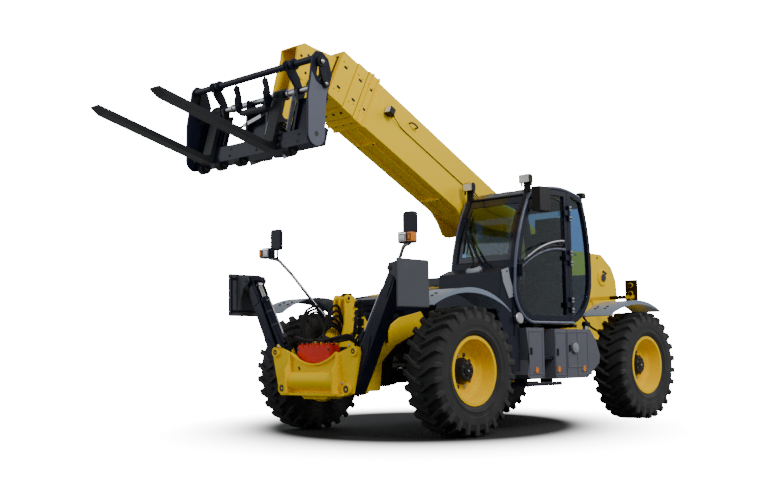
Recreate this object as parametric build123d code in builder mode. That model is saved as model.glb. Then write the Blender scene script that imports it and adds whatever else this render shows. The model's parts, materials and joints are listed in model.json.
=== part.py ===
"""Telehandler: a 17 m class telescopic handler with a fork carriage and front stabilisers.

Millimetres. +X forward, +Y to the machine's left (the cab side), +Z up from the ground.
Lengths along X are drawn from the middle of the wheelbase, which lies MIDDLE from the
frame's origin. Each sub-part is one solid or a set of like solids, written to parts/.
"""
from build123d import *
import os
from math import atan2, cos, degrees, dist, hypot, radians, sin

os.makedirs("parts", exist_ok=True)

# ---------------------------------------------------------------- driving dimensions
MIDDLE = -950.0            # X of the middle of the wheelbase in the frame
wheelbase = 3200.0
axle_height = 622.0        # also the tyre's radius
wheel_y = 1050.0           # middle of each tyre
tyre_radius = axle_height
tyre_width = 400.0
bead_radius = 305.0
rim_width = 350.0
rim_wall = 12.0
flange_height = 27.0
hub_radius = 112.0
kingpin_y = 860.0

pin_fit = 0.3              # radial clearance of pins and sliding pads
gap = 6.0                  # clearance between pieces that pass each other

boom_angle = 26.2          # boom above the horizontal, as it stands
pivot_x, pivot_z = -2200.0, 1720.0
boom_drop = 370.0          # boom's centreline below the pivot
boom_wall = 12.0
tower_inside = 238.0       # half the clear width between the tower's ears
tower_plate = 40.0

rail_inside, rail_outside = 280.0, 400.0
cab_inner_y, cab_outer_y = 275.0, 1115.0
cab_wall = 50.0
cab_corner = 20.0          # rounding of the cab's long edges
glass = 6.0

leg_pivot = (452.0, 472.0)        # (y, z) of a stabiliser leg's pin
leg_tip = (1020.0, 1570.0)
jack_base = (550.0, 825.0)        # (y, z) of the stabiliser cylinder's lower pin
jack_tip = (954.0, 1524.0)
leg_x, leg_depth = 2345.0, 150.0

stations = [                      # name, sign of X, sign of Y
    ("front_left", 1, 1),
    ("front_right", 1, -1),
    ("rear_left", -1, 1),
    ("rear_right", -1, -1),
]
sides = [("left", 1), ("right", -1)]


# ---------------------------------------------------------------- planes and small tools
def side(y=0.0):
    """Plane seen from the right: local x is X from mid wheelbase, local y is Z; extrudes to -Y."""
    return Plane(origin=(MIDDLE, y, 0), x_dir=(1, 0, 0), z_dir=(0, -1, 0))


def across(x=0.0):
    """Plane across the machine: local x is Y, local y is Z; extrudes to +X."""
    return Plane(origin=(MIDDLE + x, 0, 0), x_dir=(0, 1, 0), z_dir=(1, 0, 0))


def level(z=0.0):
    """Flat plane at a height: local x is X from mid wheelbase, local y is Y; extrudes up."""
    return Plane(origin=(MIDDLE, 0, z), x_dir=(1, 0, 0), z_dir=(0, 0, 1))


boom_dir = (cos(radians(boom_angle)), sin(radians(boom_angle)))


def boom_point(along, up):
    """(x, z) of a point given along the boom and square to it, from the boom's pivot."""
    return (
        pivot_x + along * boom_dir[0] - up * boom_dir[1],
        pivot_z + along * boom_dir[1] + up * boom_dir[0],
    )


def boom_side(y=0.0):
    """Side plane that leans with the boom, its origin on the pivot."""
    return Plane(
        origin=(MIDDLE + pivot_x, y, pivot_z),
        x_dir=(boom_dir[0], 0, boom_dir[1]),
        z_dir=(0, -1, 0),
    )


def boom_cut(along):
    """Plane square to the boom: local x is Y, local y is up the boom's section."""
    x, z = boom_point(along, 0)
    return Plane(
        origin=(MIDDLE + x, 0, z), x_dir=(0, 1, 0), z_dir=(boom_dir[0], 0, boom_dir[1])
    )


def plate(plane, outline, thickness, mode=Mode.ADD):
    """Extrude a polygon drawn on a plane."""
    with BuildSketch(plane) as face:
        Polygon(*outline, align=None)
    extrude(face.sketch, amount=thickness, mode=mode)


def disc(plane, centre, radius, thickness, mode=Mode.ADD):
    """Extrude a circle drawn on a plane."""
    with BuildSketch(plane) as face:
        with Locations(centre):
            Circle(radius)
    extrude(face.sketch, amount=thickness, mode=mode)


def block(low, high, mode=Mode.ADD):
    """Box between two corners, X from the middle of the wheelbase."""
    size = [b - a for a, b in zip(low, high)]
    centre = [(a + b) / 2 for a, b in zip(low, high)]
    with Locations((MIDDLE + centre[0], centre[1], centre[2])):
        Box(*size, mode=mode)


def padded(plane, centre, width, height, corner, thickness, mode=Mode.ADD):
    """Extrude a rectangle with rounded corners drawn on a plane."""
    with BuildSketch(plane) as face:
        with Locations(centre):
            RectangleRounded(width, height, corner)
    extrude(face.sketch, amount=thickness, mode=mode)


def link(plane, start, end, start_radius, end_radius, thickness, mode=Mode.ADD):
    """Straight arm with two round ends, drawn on a plane."""
    with BuildSketch(plane) as face:
        with Locations(start):
            Circle(start_radius)
        with Locations(end):
            Circle(end_radius)
        make_hull()
    extrude(face.sketch, amount=thickness, mode=mode)


def rod_between(start, end, radius, mode=Mode.ADD):
    """Round bar between two points (X from the middle of the wheelbase)."""
    a = Vector(MIDDLE + start[0], start[1], start[2])
    b = Vector(MIDDLE + end[0], end[1], end[2])
    with BuildSketch(Plane(origin=a, z_dir=b - a)) as face:
        Circle(radius)
    extrude(face.sketch, amount=(b - a).length, mode=mode)


def pipe(points, radius, bend):
    """Bent round tube through points, its corners rounded to one radius."""
    with BuildLine() as route:
        FilletPolyline(*[(MIDDLE + x, y, z) for x, y, z in points], radius=bend)
    with BuildSketch(Plane(origin=route.line @ 0, z_dir=route.line % 0)) as face:
        Circle(radius)
    sweep(face.sketch, path=route.line)


def save(builder, name):
    """Label a finished piece and write it."""
    builder.part.label = name
    export_step(builder.part, f"parts/{name}.step")


# ---------------------------------------------------------------- wheels, hubs and axles
def axle_x(sign):
    """X of an axle from the middle of the wheelbase."""
    return sign * wheelbase / 2


def wheel_plane(x_sign, y_sign):
    """Plane through a wheel's axis: local x points outward along the axle, local y is up."""
    return Plane(
        origin=(MIDDLE + axle_x(x_sign), y_sign * wheel_y, axle_height),
        x_dir=(0, y_sign, 0),
        z_dir=(y_sign, 0, 0),
    )


def wheel_axis(x_sign, y_sign):
    """Axis that a wheel turns on."""
    return Axis((MIDDLE + axle_x(x_sign), y_sign * wheel_y, axle_height), (0, 1, 0))


half_rim = rim_width / 2
half_tyre = tyre_width / 2
tread_flats = 52
lugs_per_side = 26
lug_root, lug_reach = 548.0, 614.5       # radii where a lug starts and where its flat top lies
lug_lead = 84.0                          # how far a lug's inner end leads its shoulder
bore = bead_radius + pin_fit
flange_outer = bead_radius + flange_height
disc_inner, disc_outer = -20.0, -2.0     # wheel disc along the axle, from the wheel's middle
hub_inner, hub_outer = -60.0, 74.0
spindle_radius = 55.0
carcass_profile = [                      # along the axle, radius: bead, sidewall, shoulder
    (160.0, flange_outer + 4), (179.0, 353.0), (half_tyre, 468.0), (197.0, 552.0), (170.0, 578.0),
]


def lug_planes(row):
    """Planes under one row of lugs: local x runs outward along the axle, z away from it."""
    step = 360 / lugs_per_side
    turns = [radians(step * (i + (0.5 if row < 0 else 0.0))) for i in range(lugs_per_side)]
    return [
        Plane(
            origin=(lug_root * sin(turn), 0, lug_root * cos(turn)),
            x_dir=(0, row, 0),
            z_dir=(sin(turn), 0, cos(turn)),
        )
        for turn in turns
    ]


# Tread about the origin: a faceted carcass and two rows of chevron lugs, staggered by half a pitch.
with BuildPart() as tread:
    rows = carcass_profile + [(-a, r) for a, r in reversed(carcass_profile)]
    for along, radius in rows:
        with BuildSketch(Plane(origin=(0, along, 0), x_dir=(1, 0, 0), z_dir=(0, 1, 0))):
            RegularPolygon(radius, tread_flats)
    loft(ruled=True)
    for row in (1, -1):
        with BuildSketch(*lug_planes(row)) as face:
            Polygon(
                (-14, row * (lug_lead + 14)), (-14, row * (lug_lead - 22)), (60, row * 26), (150, row * -34),
                (198.5, row * -38), (198.5, row * 32), (150, row * 30), (66, row * 78),
                align=None,
            )
        extrude(face.sketch, amount=lug_reach - lug_root)
    with BuildSketch(Plane(origin=(0, -half_tyre - 1, 0), x_dir=(1, 0, 0), z_dir=(0, 1, 0))) as face:
        RegularPolygon(bore, tread_flats, major_radius=False)
    extrude(face.sketch, amount=tyre_width + 2, mode=Mode.SUBTRACT)

for name, x_sign, y_sign in stations:
    with BuildPart() as tyre:
        add(tread.part.moved(Location((MIDDLE + axle_x(x_sign), y_sign * wheel_y, axle_height))))
    save(tyre, f"tyre_{name}")

    rim_profile = [                      # along the axle, radius: barrel, flanges, disc and hub
        (-half_rim, flange_outer),
        (-half_rim, bead_radius - rim_wall),
        (disc_inner, bead_radius - rim_wall - 30),
        (disc_inner, hub_radius),
        (hub_inner, hub_radius),
        (hub_inner, spindle_radius + pin_fit),
        (10.0, spindle_radius + pin_fit),
        (10.0, 0),
        (hub_outer, 0),
        (hub_outer, hub_radius - 40),
        (hub_outer - 22, hub_radius - 14),
        (disc_outer, hub_radius),
        (disc_outer, bead_radius - rim_wall - 60),
        (disc_outer + 45, bead_radius - rim_wall - 22),
        (half_rim - 30, bead_radius - rim_wall),
        (half_rim, bead_radius - 4),
        (half_rim, flange_outer),
        (half_rim - rim_wall, flange_outer),
        (half_rim - rim_wall, bead_radius),
        (-half_rim + rim_wall, bead_radius),
        (-half_rim + rim_wall, flange_outer),
    ]
    with BuildPart() as rim:
        with BuildSketch(wheel_plane(x_sign, y_sign)):
            Polygon(*rim_profile, align=None)
        revolve(axis=wheel_axis(x_sign, y_sign))
    save(rim, f"rim_{name}")

# Steering knuckles: a block on its kingpin between the axle's ears, with the wheel's spindle.
ear_low, ear_high = 108.0, 134.0         # ears below and above the axle's height
kingpin_radius = 26.0
knuckle_radius = 78.0
spindle_end = wheel_y + 9.0

for name, x_sign, y_sign in stations:
    x = axle_x(x_sign)
    with BuildPart() as knuckle:
        disc(level(axle_height - ear_low + 1), (x, y_sign * kingpin_y), knuckle_radius, 2 * ear_low - 2)
        disc(level(axle_height - ear_high), (x, y_sign * kingpin_y), kingpin_radius, 2 * ear_high)
        rod_between(
            (x, y_sign * (kingpin_y + 40), axle_height),
            (x, y_sign * (wheel_y + hub_inner - gap), axle_height),
            100.0,
        )
        rod_between(
            (x, y_sign * kingpin_y, axle_height), (x, y_sign * spindle_end, axle_height), spindle_radius
        )
    save(knuckle, f"knuckle_{name}")

beam_half = 75.0
yoke_y = kingpin_y - knuckle_radius - gap
diff_radius = 150.0
trunnion_radius = 60.0
trunnion_half = 270.0

with BuildPart() as axles:
    for x_sign in (1, -1):
        x = axle_x(x_sign)
        rod_between((x, -yoke_y + 20, axle_height), (x, yoke_y - 20, axle_height), beam_half)
        rod_between((x - 150, 0, axle_height), (x + 150, 0, axle_height), diff_radius)
        rod_between(
            (x - trunnion_half, 0, axle_height), (x + trunnion_half, 0, axle_height), trunnion_radius
        )
        for y_sign in (1, -1):
            plate(
                level(axle_height - ear_high),
                [
                    (x - 85, y_sign * (yoke_y - 45)),
                    (x + 85, y_sign * (yoke_y - 45)),
                    (x + 85, y_sign * yoke_y),
                    (x - 85, y_sign * yoke_y),
                ],
                2 * ear_high,
            )
            for z in (axle_height - ear_high, axle_height + ear_low):
                link(
                    level(z),
                    (x, y_sign * (yoke_y - 20)),
                    (x, y_sign * kingpin_y),
                    85,
                    58,
                    ear_high - ear_low,
                )
                disc(
                    level(z),
                    (x, y_sign * kingpin_y),
                    kingpin_radius + pin_fit,
                    ear_high - ear_low,
                    mode=Mode.SUBTRACT,
                )
save(axles, "axles")

# ---------------------------------------------------------------- main frame
rail_low, rail_high = 480.0, 870.0
rail_front, rail_rear = 2290.0, -2340.0
arch_half, arch_top = 300.0, 790.0

rail_outline = [                          # x, z
    (rail_rear, rail_low + 60),
    (-wheelbase / 2 - arch_half, rail_low + 60),
    (-wheelbase / 2 - arch_half + 60, arch_top),
    (-wheelbase / 2 + arch_half - 60, arch_top),
    (-wheelbase / 2 + arch_half, rail_low),
    (wheelbase / 2 - arch_half, rail_low),
    (wheelbase / 2 - arch_half + 60, arch_top),
    (wheelbase / 2 + arch_half - 60, arch_top),
    (wheelbase / 2 + arch_half, rail_low),
    (rail_front, rail_low),
    (rail_front, rail_high - 90),
    (2040.0, rail_high),
    (rail_rear, rail_high),
]
cross_plates = [                          # x of the rear face, low z, high z
    (-wheelbase / 2 - trunnion_half - 30, 500.0, 745.0),
    (-wheelbase / 2 + trunnion_half - 30, 500.0, 745.0),
    (wheelbase / 2 - trunnion_half - 30, 500.0, 800.0),
    (wheelbase / 2 + trunnion_half - 30, 500.0, 800.0),
    (0.0, 500.0, 760.0),
    (rail_front - 60, 500.0, 780.0),
]
cross_thickness = 60.0
lift_base = (-1950.0, 840.0)              # (x, z) of the lift cylinder's lower pin

with BuildPart() as main_frame:
    for y_high in (rail_outside, -rail_inside):
        plate(side(y_high), rail_outline, rail_outside - rail_inside)
    for x, low, high in cross_plates:
        block((x, -rail_inside, low), (x + cross_thickness, rail_inside, high))
    for x_sign in (1, -1):
        x = axle_x(x_sign)
        rod_between(
            (x - trunnion_half - 60, 0, axle_height),
            (x + trunnion_half + 60, 0, axle_height),
            trunnion_radius + pin_fit,
            mode=Mode.SUBTRACT,
        )
save(main_frame, "main_frame")

# Tower: two ears that carry the boom's pivot and the lift cylinder's lower pin.
tower_outline = [                         # x, z
    (-1330.0, rail_high),
    (-1385.0, 1350.0),
    (-1400.0, 1850.0),
    (-1470.0, 2030.0),
    (-2190.0, 2015.0),
    (-2430.0, 1860.0),
    (-2530.0, 1690.0),
    (-2550.0, 1500.0),
    (rail_rear, 1005.0),
    (rail_rear, rail_high),
]
pivot_pin_radius = 55.0
lift_pin_radius = 38.0
lift_eye_half = 60.0
with BuildPart() as tower:
    for y_high in (tower_inside + tower_plate, -tower_inside):
        plate(side(y_high), tower_outline, tower_plate)
    for y_sign in (1, -1):
        plate(
            side(max(y_sign * tower_inside, y_sign * (rail_inside + 30))),
            [(-1330.0, rail_high), (-1340.0, 940.0), (rail_rear, 940.0), (rail_rear, rail_high)],
            rail_inside + 30 - tower_inside,
        )
        block(
            (lift_base[0] - 70, y_sign * 185 - 105, 752),
            (lift_base[0] + 70, y_sign * 185 + 105, 960),
        )
    block((-2440, -tower_inside, 1050), (-2410, tower_inside, 1380))
    for y_sign in (1, -1):
        ys = sorted((y_sign * tower_inside, y_sign * 905))
        block((-1940, ys[0], 1420), (-1905, ys[1], 1460))
        padded(across(-1935), (y_sign * 860, 1480), 90, 330, 30, 26)
        for z in (1380, 1480, 1580):
            disc(across(-1910), (y_sign * 860, z), 30, 12)
    rod_between(
        (pivot_x, -tower_inside - tower_plate - 25, pivot_z),
        (pivot_x, tower_inside + tower_plate + 25, pivot_z),
        pivot_pin_radius,
    )
    rod_between((lift_base[0], -200, lift_base[1]), (lift_base[0], 200, lift_base[1]), lift_pin_radius)
    # the rails and the axle's trunnion plates stay clear of the feet
    for y_high in (rail_outside, -rail_inside):
        plate(side(y_high), rail_outline, rail_outside - rail_inside, mode=Mode.SUBTRACT)
save(tower, "tower")

# ---------------------------------------------------------------- front stabiliser frame
plate_x = leg_x + leg_depth + 5           # rear face of the front plate
front_plate = 30.0
back_plate_x = leg_x - 5 - front_plate
boss_radius = 52.0
leg_pin_radius = 32.0
jack_pin_radius = 24.0

with BuildPart() as front_frame:
    for x in (plate_x, back_plate_x):
        with BuildSketch(across(x)) as face:
            with BuildLine():
                cut = ThreePointArc((300, 800), (0, 690), (-300, 800))
                Polyline(
                    (-300, 800), (-500, 868), (-598, 862), (-610, 800), (-515, 430), (-440, 408),
                    (-200, 408), (-150, 372), (150, 372), (200, 408), (440, 408), (515, 430),
                    (610, 800), (598, 862), (500, 868), (300, 800),
                )
            make_face()
        extrude(face.sketch, amount=front_plate)
    # nose tube and the box between the two plates
    block((rail_front, -300, 430), (plate_x, 300, 640))
    rod_between((plate_x + 8, -330, 545), (plate_x + 8, 330, 545), 92)
    for y_high in (345, -325):
        plate(
            side(y_high),
            [
                (plate_x, 412), (plate_x + 122, 424), (plate_x + 122, 640), (plate_x + 74, 705),
                (plate_x + 60, 806), (plate_x, 812),
            ],
            20,
        )
    with BuildSketch(across(plate_x + front_plate)) as face:
        with BuildLine():
            lip = ThreePointArc((-318, 812), (0, 702), (318, 812))
            offset(lip, amount=9, side=Side.BOTH)
        make_face()
    extrude(face.sketch, amount=26)
    padded(across(plate_x + front_plate), (0, 420), 860, 24, 6, 60)
    for y_sign in (1, -1):
        for (y, z), radius, pin in (
            (leg_pivot, boss_radius, leg_pin_radius),
            (jack_base, boss_radius - 8, jack_pin_radius),
        ):
            disc(across(plate_x), (y_sign * y, z), radius, front_plate + 14)
            disc(across(back_plate_x), (y_sign * y, z), pin, plate_x + front_plate + 24 - back_plate_x)
    # side plates that run back along the rails
    for y_high in (rail_outside + 22, -rail_outside):
        plate(
            side(y_high),
            [
                (back_plate_x, 440), (back_plate_x, 840), (1760, 1150), (1450, 1215),
                (1345, 1070), (1830, 880), (2030, 720), (2060, 440),
            ],
            22,
        )
save(front_frame, "front_frame")

# ---------------------------------------------------------------- stabiliser legs, pads and jacks
leg_length = dist(leg_pivot, leg_tip)
leg_web = 72.0                            # outer web's distance from the leg's line
leg_flange = 16.0
pad_x, pad_width = leg_x + leg_depth / 2, 420.0
pad_face_y = 1200.0
jack_x = leg_x + leg_depth / 2
jack_eye_half = 26.0
jack_eye = 28.0


def swing(y_sign, point):
    """(y, z) pair on the given side of the machine."""
    return (y_sign * point[0], point[1])


leg_unit = ((leg_tip[0] - leg_pivot[0]) / leg_length, (leg_tip[1] - leg_pivot[1]) / leg_length)


def leg_point(y_sign, along, out):
    """(y, z) of a point along the leg from its pin, and outward square to it."""
    y = leg_pivot[0] + along * leg_unit[0] + out * leg_unit[1]
    z = leg_pivot[1] + along * leg_unit[1] - out * leg_unit[0]
    return (y_sign * y, z)


for side_name, y_sign in sides:
    with BuildPart() as leg:
        outline = [
            leg_point(y_sign, a, o)
            for a, o in (
                (-40, -55), (-55, 20), (-20, 62), (120, leg_web), (1080, leg_web), (leg_length + 30, 38),
                (leg_length + 42, 0), (leg_length + 25, -32), (1100, -42), (700, -40), (300, -40), (120, -60),
            )
        ]
        plate(across(leg_x), outline, leg_depth)
        hollow = [
            leg_point(y_sign, a, o)
            for a, o in (
                (150, leg_web - leg_flange), (leg_length - 70, leg_web - leg_flange),
                (leg_length - 16, 10), (leg_length - 16, -120), (-120, -120), (60, 0),
            )
        ]
        plate(across(leg_x + leg_flange), hollow, leg_depth - 2 * leg_flange, mode=Mode.SUBTRACT)
        disc(across(leg_x), swing(y_sign, leg_pivot), 60, leg_depth)
        disc(
            across(leg_x - 1), swing(y_sign, leg_pivot), leg_pin_radius + pin_fit, leg_depth + 2,
            mode=Mode.SUBTRACT,
        )
        disc(across(leg_x - 45), swing(y_sign, leg_tip), 22, leg_depth + 90)
    save(leg, f"stabiliser_leg_{side_name}")

    with BuildPart() as pad:
        plate(
            across(pad_x - pad_width / 2),
            [
                (y_sign * (pad_face_y - 16), 1645), (y_sign * pad_face_y, 1640),
                (y_sign * pad_face_y, 1215), (y_sign * (pad_face_y - 16), 1205),
            ],
            pad_width,
        )
        for x in (leg_x - 45, leg_x + leg_depth + 27):
            plate(
                across(x),
                [
                    (y_sign * (pad_face_y - 16), 1640), (y_sign * 1010, 1615), (y_sign * 985, 1570),
                    (y_sign * 1010, 1530), (y_sign * 1085, 1480), (y_sign * (pad_face_y - 16), 1240),
                ],
                18,
            )
            disc(
                across(x - 1), swing(y_sign, leg_tip), 22 + pin_fit, 20, mode=Mode.SUBTRACT
            )
    save(pad, f"stabiliser_pad_{side_name}")

    base, tip = swing(y_sign, jack_base), swing(y_sign, jack_tip)
    length = dist(base, tip)
    unit = ((tip[0] - base[0]) / length, (tip[1] - base[1]) / length)
    gland = 640.0

    def on_jack(along):
        """3-D point on the jack's axis."""
        return (jack_x, base[0] + along * unit[0], base[1] + along * unit[1])

    with BuildPart() as barrel:
        rod_between(on_jack(30), on_jack(gland), 46)
        rod_between(on_jack(gland - 60), on_jack(gland), 52)
        disc(across(jack_x - 50), base, 44, 100)
        disc(across(jack_x - 51), base, jack_pin_radius + pin_fit, 102, mode=Mode.SUBTRACT)
        rod_between(on_jack(130), on_jack(gland), 25 + pin_fit, mode=Mode.SUBTRACT)
    save(barrel, f"stabiliser_cylinder_{side_name}")

    with BuildPart() as rod:
        rod_between(on_jack(180), on_jack(length - jack_eye * 0.7), 25)
        disc(across(jack_x - jack_eye_half), tip, jack_eye, 2 * jack_eye_half)
        disc(across(jack_x - jack_eye_half - 1), tip, jack_eye / 2, 2 * jack_eye_half + 2, mode=Mode.SUBTRACT)
    save(rod, f"stabiliser_rod_{side_name}")

# ---------------------------------------------------------------- telescopic boom
boom_sections = [                         # half width, half height, start, end, collar start, collar half width
    (190.0, 270.0, 300.0, 4550.0, 4380.0, 200.0),
    (165.0, 240.0, 550.0, 4710.0, 4558.0, 197.0),
    (140.0, 210.0, 650.0, 4930.0, 4718.0, 192.0),
    (115.0, 180.0, 750.0, 4960.0, None, None),
]
collar_half_heights = [288.0, 276.0, 262.0]
pad_length = 120.0


def box_section(along, length, half_width, half_height, mode=Mode.ADD):
    """Rectangular bar along the boom about its centreline."""
    with BuildSketch(boom_cut(along)) as face:
        with Locations((0, -boom_drop)):
            Rectangle(2 * half_width, 2 * half_height)
    extrude(face.sketch, amount=length, mode=mode)


lift_lug = (2000.0, -900.0)               # along, up: lift cylinder's upper pin on the boom
lift_tip = boom_point(*lift_lug)
belly_relief = [                          # along, up: cut that clears the lift cylinder at full lift
    (100, -519), (1000, -641), (1000, -800), (100, -800),
]

for index, (half_w, half_h, start, end, collar_start, collar_half) in enumerate(boom_sections[:3]):
    inner_w, inner_h = boom_sections[index + 1][0] + pin_fit, boom_sections[index + 1][1] + pin_fit
    with BuildPart() as section:
        box_section(start, end - start, half_w, half_h)
        box_section(collar_start, end - collar_start, collar_half, collar_half_heights[index])
        if index:
            outer = boom_sections[index - 1]
            box_section(start, pad_length, outer[0] - boom_wall - pin_fit, outer[1] - boom_wall - pin_fit)
        box_section(
            start - 1, end - start - pad_length + 1, half_w - boom_wall, half_h - boom_wall, mode=Mode.SUBTRACT
        )
        box_section(start - 1, end - start + 2, inner_w, inner_h, mode=Mode.SUBTRACT)
        if index == 0:
            # root with the pivot's eye, then the belly bracket and the lift cylinder's lugs
            for y_high in (half_w, -half_w + 40):
                plate(
                    boom_side(y_high),
                    [(-100, -90), (-60, 110), (60, 125), (900, -100), (900, -639), (420, -639), (-60, -180)],
                    40,
                )
                disc(boom_side(y_high), (0, 0), 125, 40)
            for y_high in (half_w, -half_w + 20):
                plate(
                    boom_side(y_high),
                    [(2250, -639), (2310, -700), (2430, -775), (2500, -780), (2620, -700), (2780, -639)],
                    20,
                )
            for along in (4395, 4480):
                box_section(along, 22, half_w + 22, half_h + 27)
            for along in (1200, 2650, 3900):
                padded(boom_side(-half_w + 1), (along, -boom_drop), 150, 46, 12, 14)
            for y_high in (102, -62):
                link(boom_side(y_high), lift_lug, (1900, -600), 60, 150, 40)
                link(boom_side(y_high), lift_lug, (2100, -600), 60, 150, 40)
            box_section(start, end - start, half_w - boom_wall, half_h - boom_wall, mode=Mode.SUBTRACT)
            box_section(collar_start, end - collar_start, half_w - boom_wall, half_h - boom_wall)
            box_section(start, end - start + 2, inner_w, inner_h, mode=Mode.SUBTRACT)
            rod_between(
                (pivot_x, -half_w - 5, pivot_z), (pivot_x, half_w + 5, pivot_z), pivot_pin_radius + pin_fit,
                mode=Mode.SUBTRACT,
            )
        if index < 2:
            plate(boom_side(half_w + 50), belly_relief, 2 * half_w + 100, mode=Mode.SUBTRACT)
    save(section, f"boom_section_{index + 1}")

# Innermost section with the goose-neck head.
half_w, half_h, start, end = boom_sections[3][:4]
head_pin = (3020.0, 2930.0)               # (x, z) where the carriage hinges on the head
tilt_lug = (4950.0, -362.0)               # along, up: the tilt cylinder's base
head_plate = 22.0
tilt_base = boom_point(*tilt_lug)
lever = 250.0
lever_angle = 84.0
tilt_tip = (
    head_pin[0] + lever * cos(radians(lever_angle)),
    head_pin[1] + lever * sin(radians(lever_angle)),
)
section_top = boom_point(end, -boom_drop + half_h)
section_low = boom_point(end, -boom_drop - half_h)
head_outline = [
    boom_point(end - 22, -boom_drop + half_h), section_top, (2620, 3775), (2740, 3800), (2830, 3757),
    (2845, 3650), (2905, 3460), (2950, 3280), (3085, 3020), (3110, 2930), (3085, 2865), (3020, 2838),
    (2945, 2860), (2800, 2965), (2540, 3270), section_low, boom_point(end - 22, -boom_drop - half_h),
]
head_pin_radius = 34.0
tilt_pin_radius = 24.0
head_half = half_w + 10

with BuildPart() as section:
    box_section(start, end - start, half_w, half_h)
    outer = boom_sections[2]
    box_section(start, pad_length, outer[0] - boom_wall - pin_fit, outer[1] - boom_wall - pin_fit)
    box_section(start - 1, end - start + 2, half_w - boom_wall, half_h - boom_wall, mode=Mode.SUBTRACT)
    box_section(end - 90, 91, half_w - boom_wall, half_h + 1, mode=Mode.SUBTRACT)
    plate(side(head_half), head_outline, 2 * head_half)
    # the channel inside the head, open at its front
    plate(
        side(half_w - boom_wall),
        [
            boom_point(end - 90, -boom_drop + half_h - boom_wall),
            boom_point(end, -boom_drop + half_h - boom_wall), (2622, 3757), (2735, 3782), (2812, 3744),
            (2900, 3760), (3250, 2990), (3200, 2780), (2990, 2790), (2942, 2884), (2812, 2982), (2555, 3284),
            boom_point(end, -boom_drop - half_h + boom_wall),
            boom_point(end - 90, -boom_drop - half_h + boom_wall),
        ],
        2 * (half_w - boom_wall),
        mode=Mode.SUBTRACT,
    )
    rod_between((head_pin[0], -170, head_pin[1]), (head_pin[0], 170, head_pin[1]), head_pin_radius)
    rod_between(
        (tilt_base[0], -half_w, tilt_base[1]), (tilt_base[0], half_w, tilt_base[1]), tilt_pin_radius
    )
save(section, "boom_section_4")

# ---------------------------------------------------------------- lift and tilt cylinders
cylinders = [
    # name, base (x, z), tip (x, z), barrel, rod, gland, base eye, base pin, tip eye, half width, rod start
    ("lift", lift_base, lift_tip, 65.0, 40.0, 1560.0, 60.0, lift_pin_radius, 52.0, 52.0, 560.0),
    ("tilt", tilt_base, tilt_tip, 40.0, 24.0, 575.0, 38.0, tilt_pin_radius, 40.0, 26.0, 200.0),
]
for name, base, tip, barrel_r, rod_r, gland, base_eye, base_pin, tip_eye, half, rod_start in cylinders:
    length = dist(base, tip)
    unit = ((tip[0] - base[0]) / length, (tip[1] - base[1]) / length)

    def on_axis(along):
        """3-D point on the cylinder's axis."""
        return (base[0] + along * unit[0], 0, base[1] + along * unit[1])

    with BuildPart() as barrel:
        rod_between(on_axis(base_eye * 0.6), on_axis(gland), barrel_r)
        disc(side(half), base, base_eye, 2 * half)
        rod_between(on_axis(base_eye * 2.2), on_axis(gland + 1), rod_r + pin_fit, mode=Mode.SUBTRACT)
        disc(side(barrel_r + 1), base, base_pin + pin_fit, 2 * barrel_r + 2, mode=Mode.SUBTRACT)
    save(barrel, f"{name}_cylinder")

    with BuildPart() as rod:
        rod_between(on_axis(rod_start), on_axis(length - tip_eye * 0.5), rod_r)
        disc(side(half), tip, tip_eye, 2 * half)
        disc(side(half + 1), tip, tip_eye * 0.5, 2 * half + 2, mode=Mode.SUBTRACT)
    save(rod, f"{name}_rod")

# ---------------------------------------------------------------- fork carriage and forks
fork_tilt = 14.8                          # forks above the horizontal, as they stand
heel = (3300.0, 2640.0)                   # (x, z) of the forks' lower back corner
fork_unit = (cos(radians(fork_tilt)), sin(radians(fork_tilt)))
fork_length = 1302.4
fork_width = 130.0
fork_thickness = 50.0
fork_tip = 14.0
shank_height = 520.0
rail_at = (3.0, 558.0)                    # fork rail: forward and up from the heel
rail_radius = 30.0
forks = [("left", 270.0), ("right", -650.0)]
carriage_half = 885.0
end_plate = 22.0
shaft = (3290.0, 3387.0)
shaft_radius = 32.0


def fork_side(y=0.0):
    """Side plane that leans with the forks, its origin on their heel."""
    return Plane(
        origin=(MIDDLE + heel[0], y, heel[1]), x_dir=(fork_unit[0], 0, fork_unit[1]), z_dir=(0, -1, 0)
    )


def heel_point(forward, up):
    """(x, z) of a point given forward and up from the forks' heel."""
    return (
        heel[0] + forward * fork_unit[0] - up * fork_unit[1],
        heel[1] + forward * fork_unit[1] + up * fork_unit[0],
    )


rail_point = heel_point(*rail_at)
ear_inside = head_half + gap
ear_plate = 30.0
lug_inside = 26.0 + gap

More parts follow.
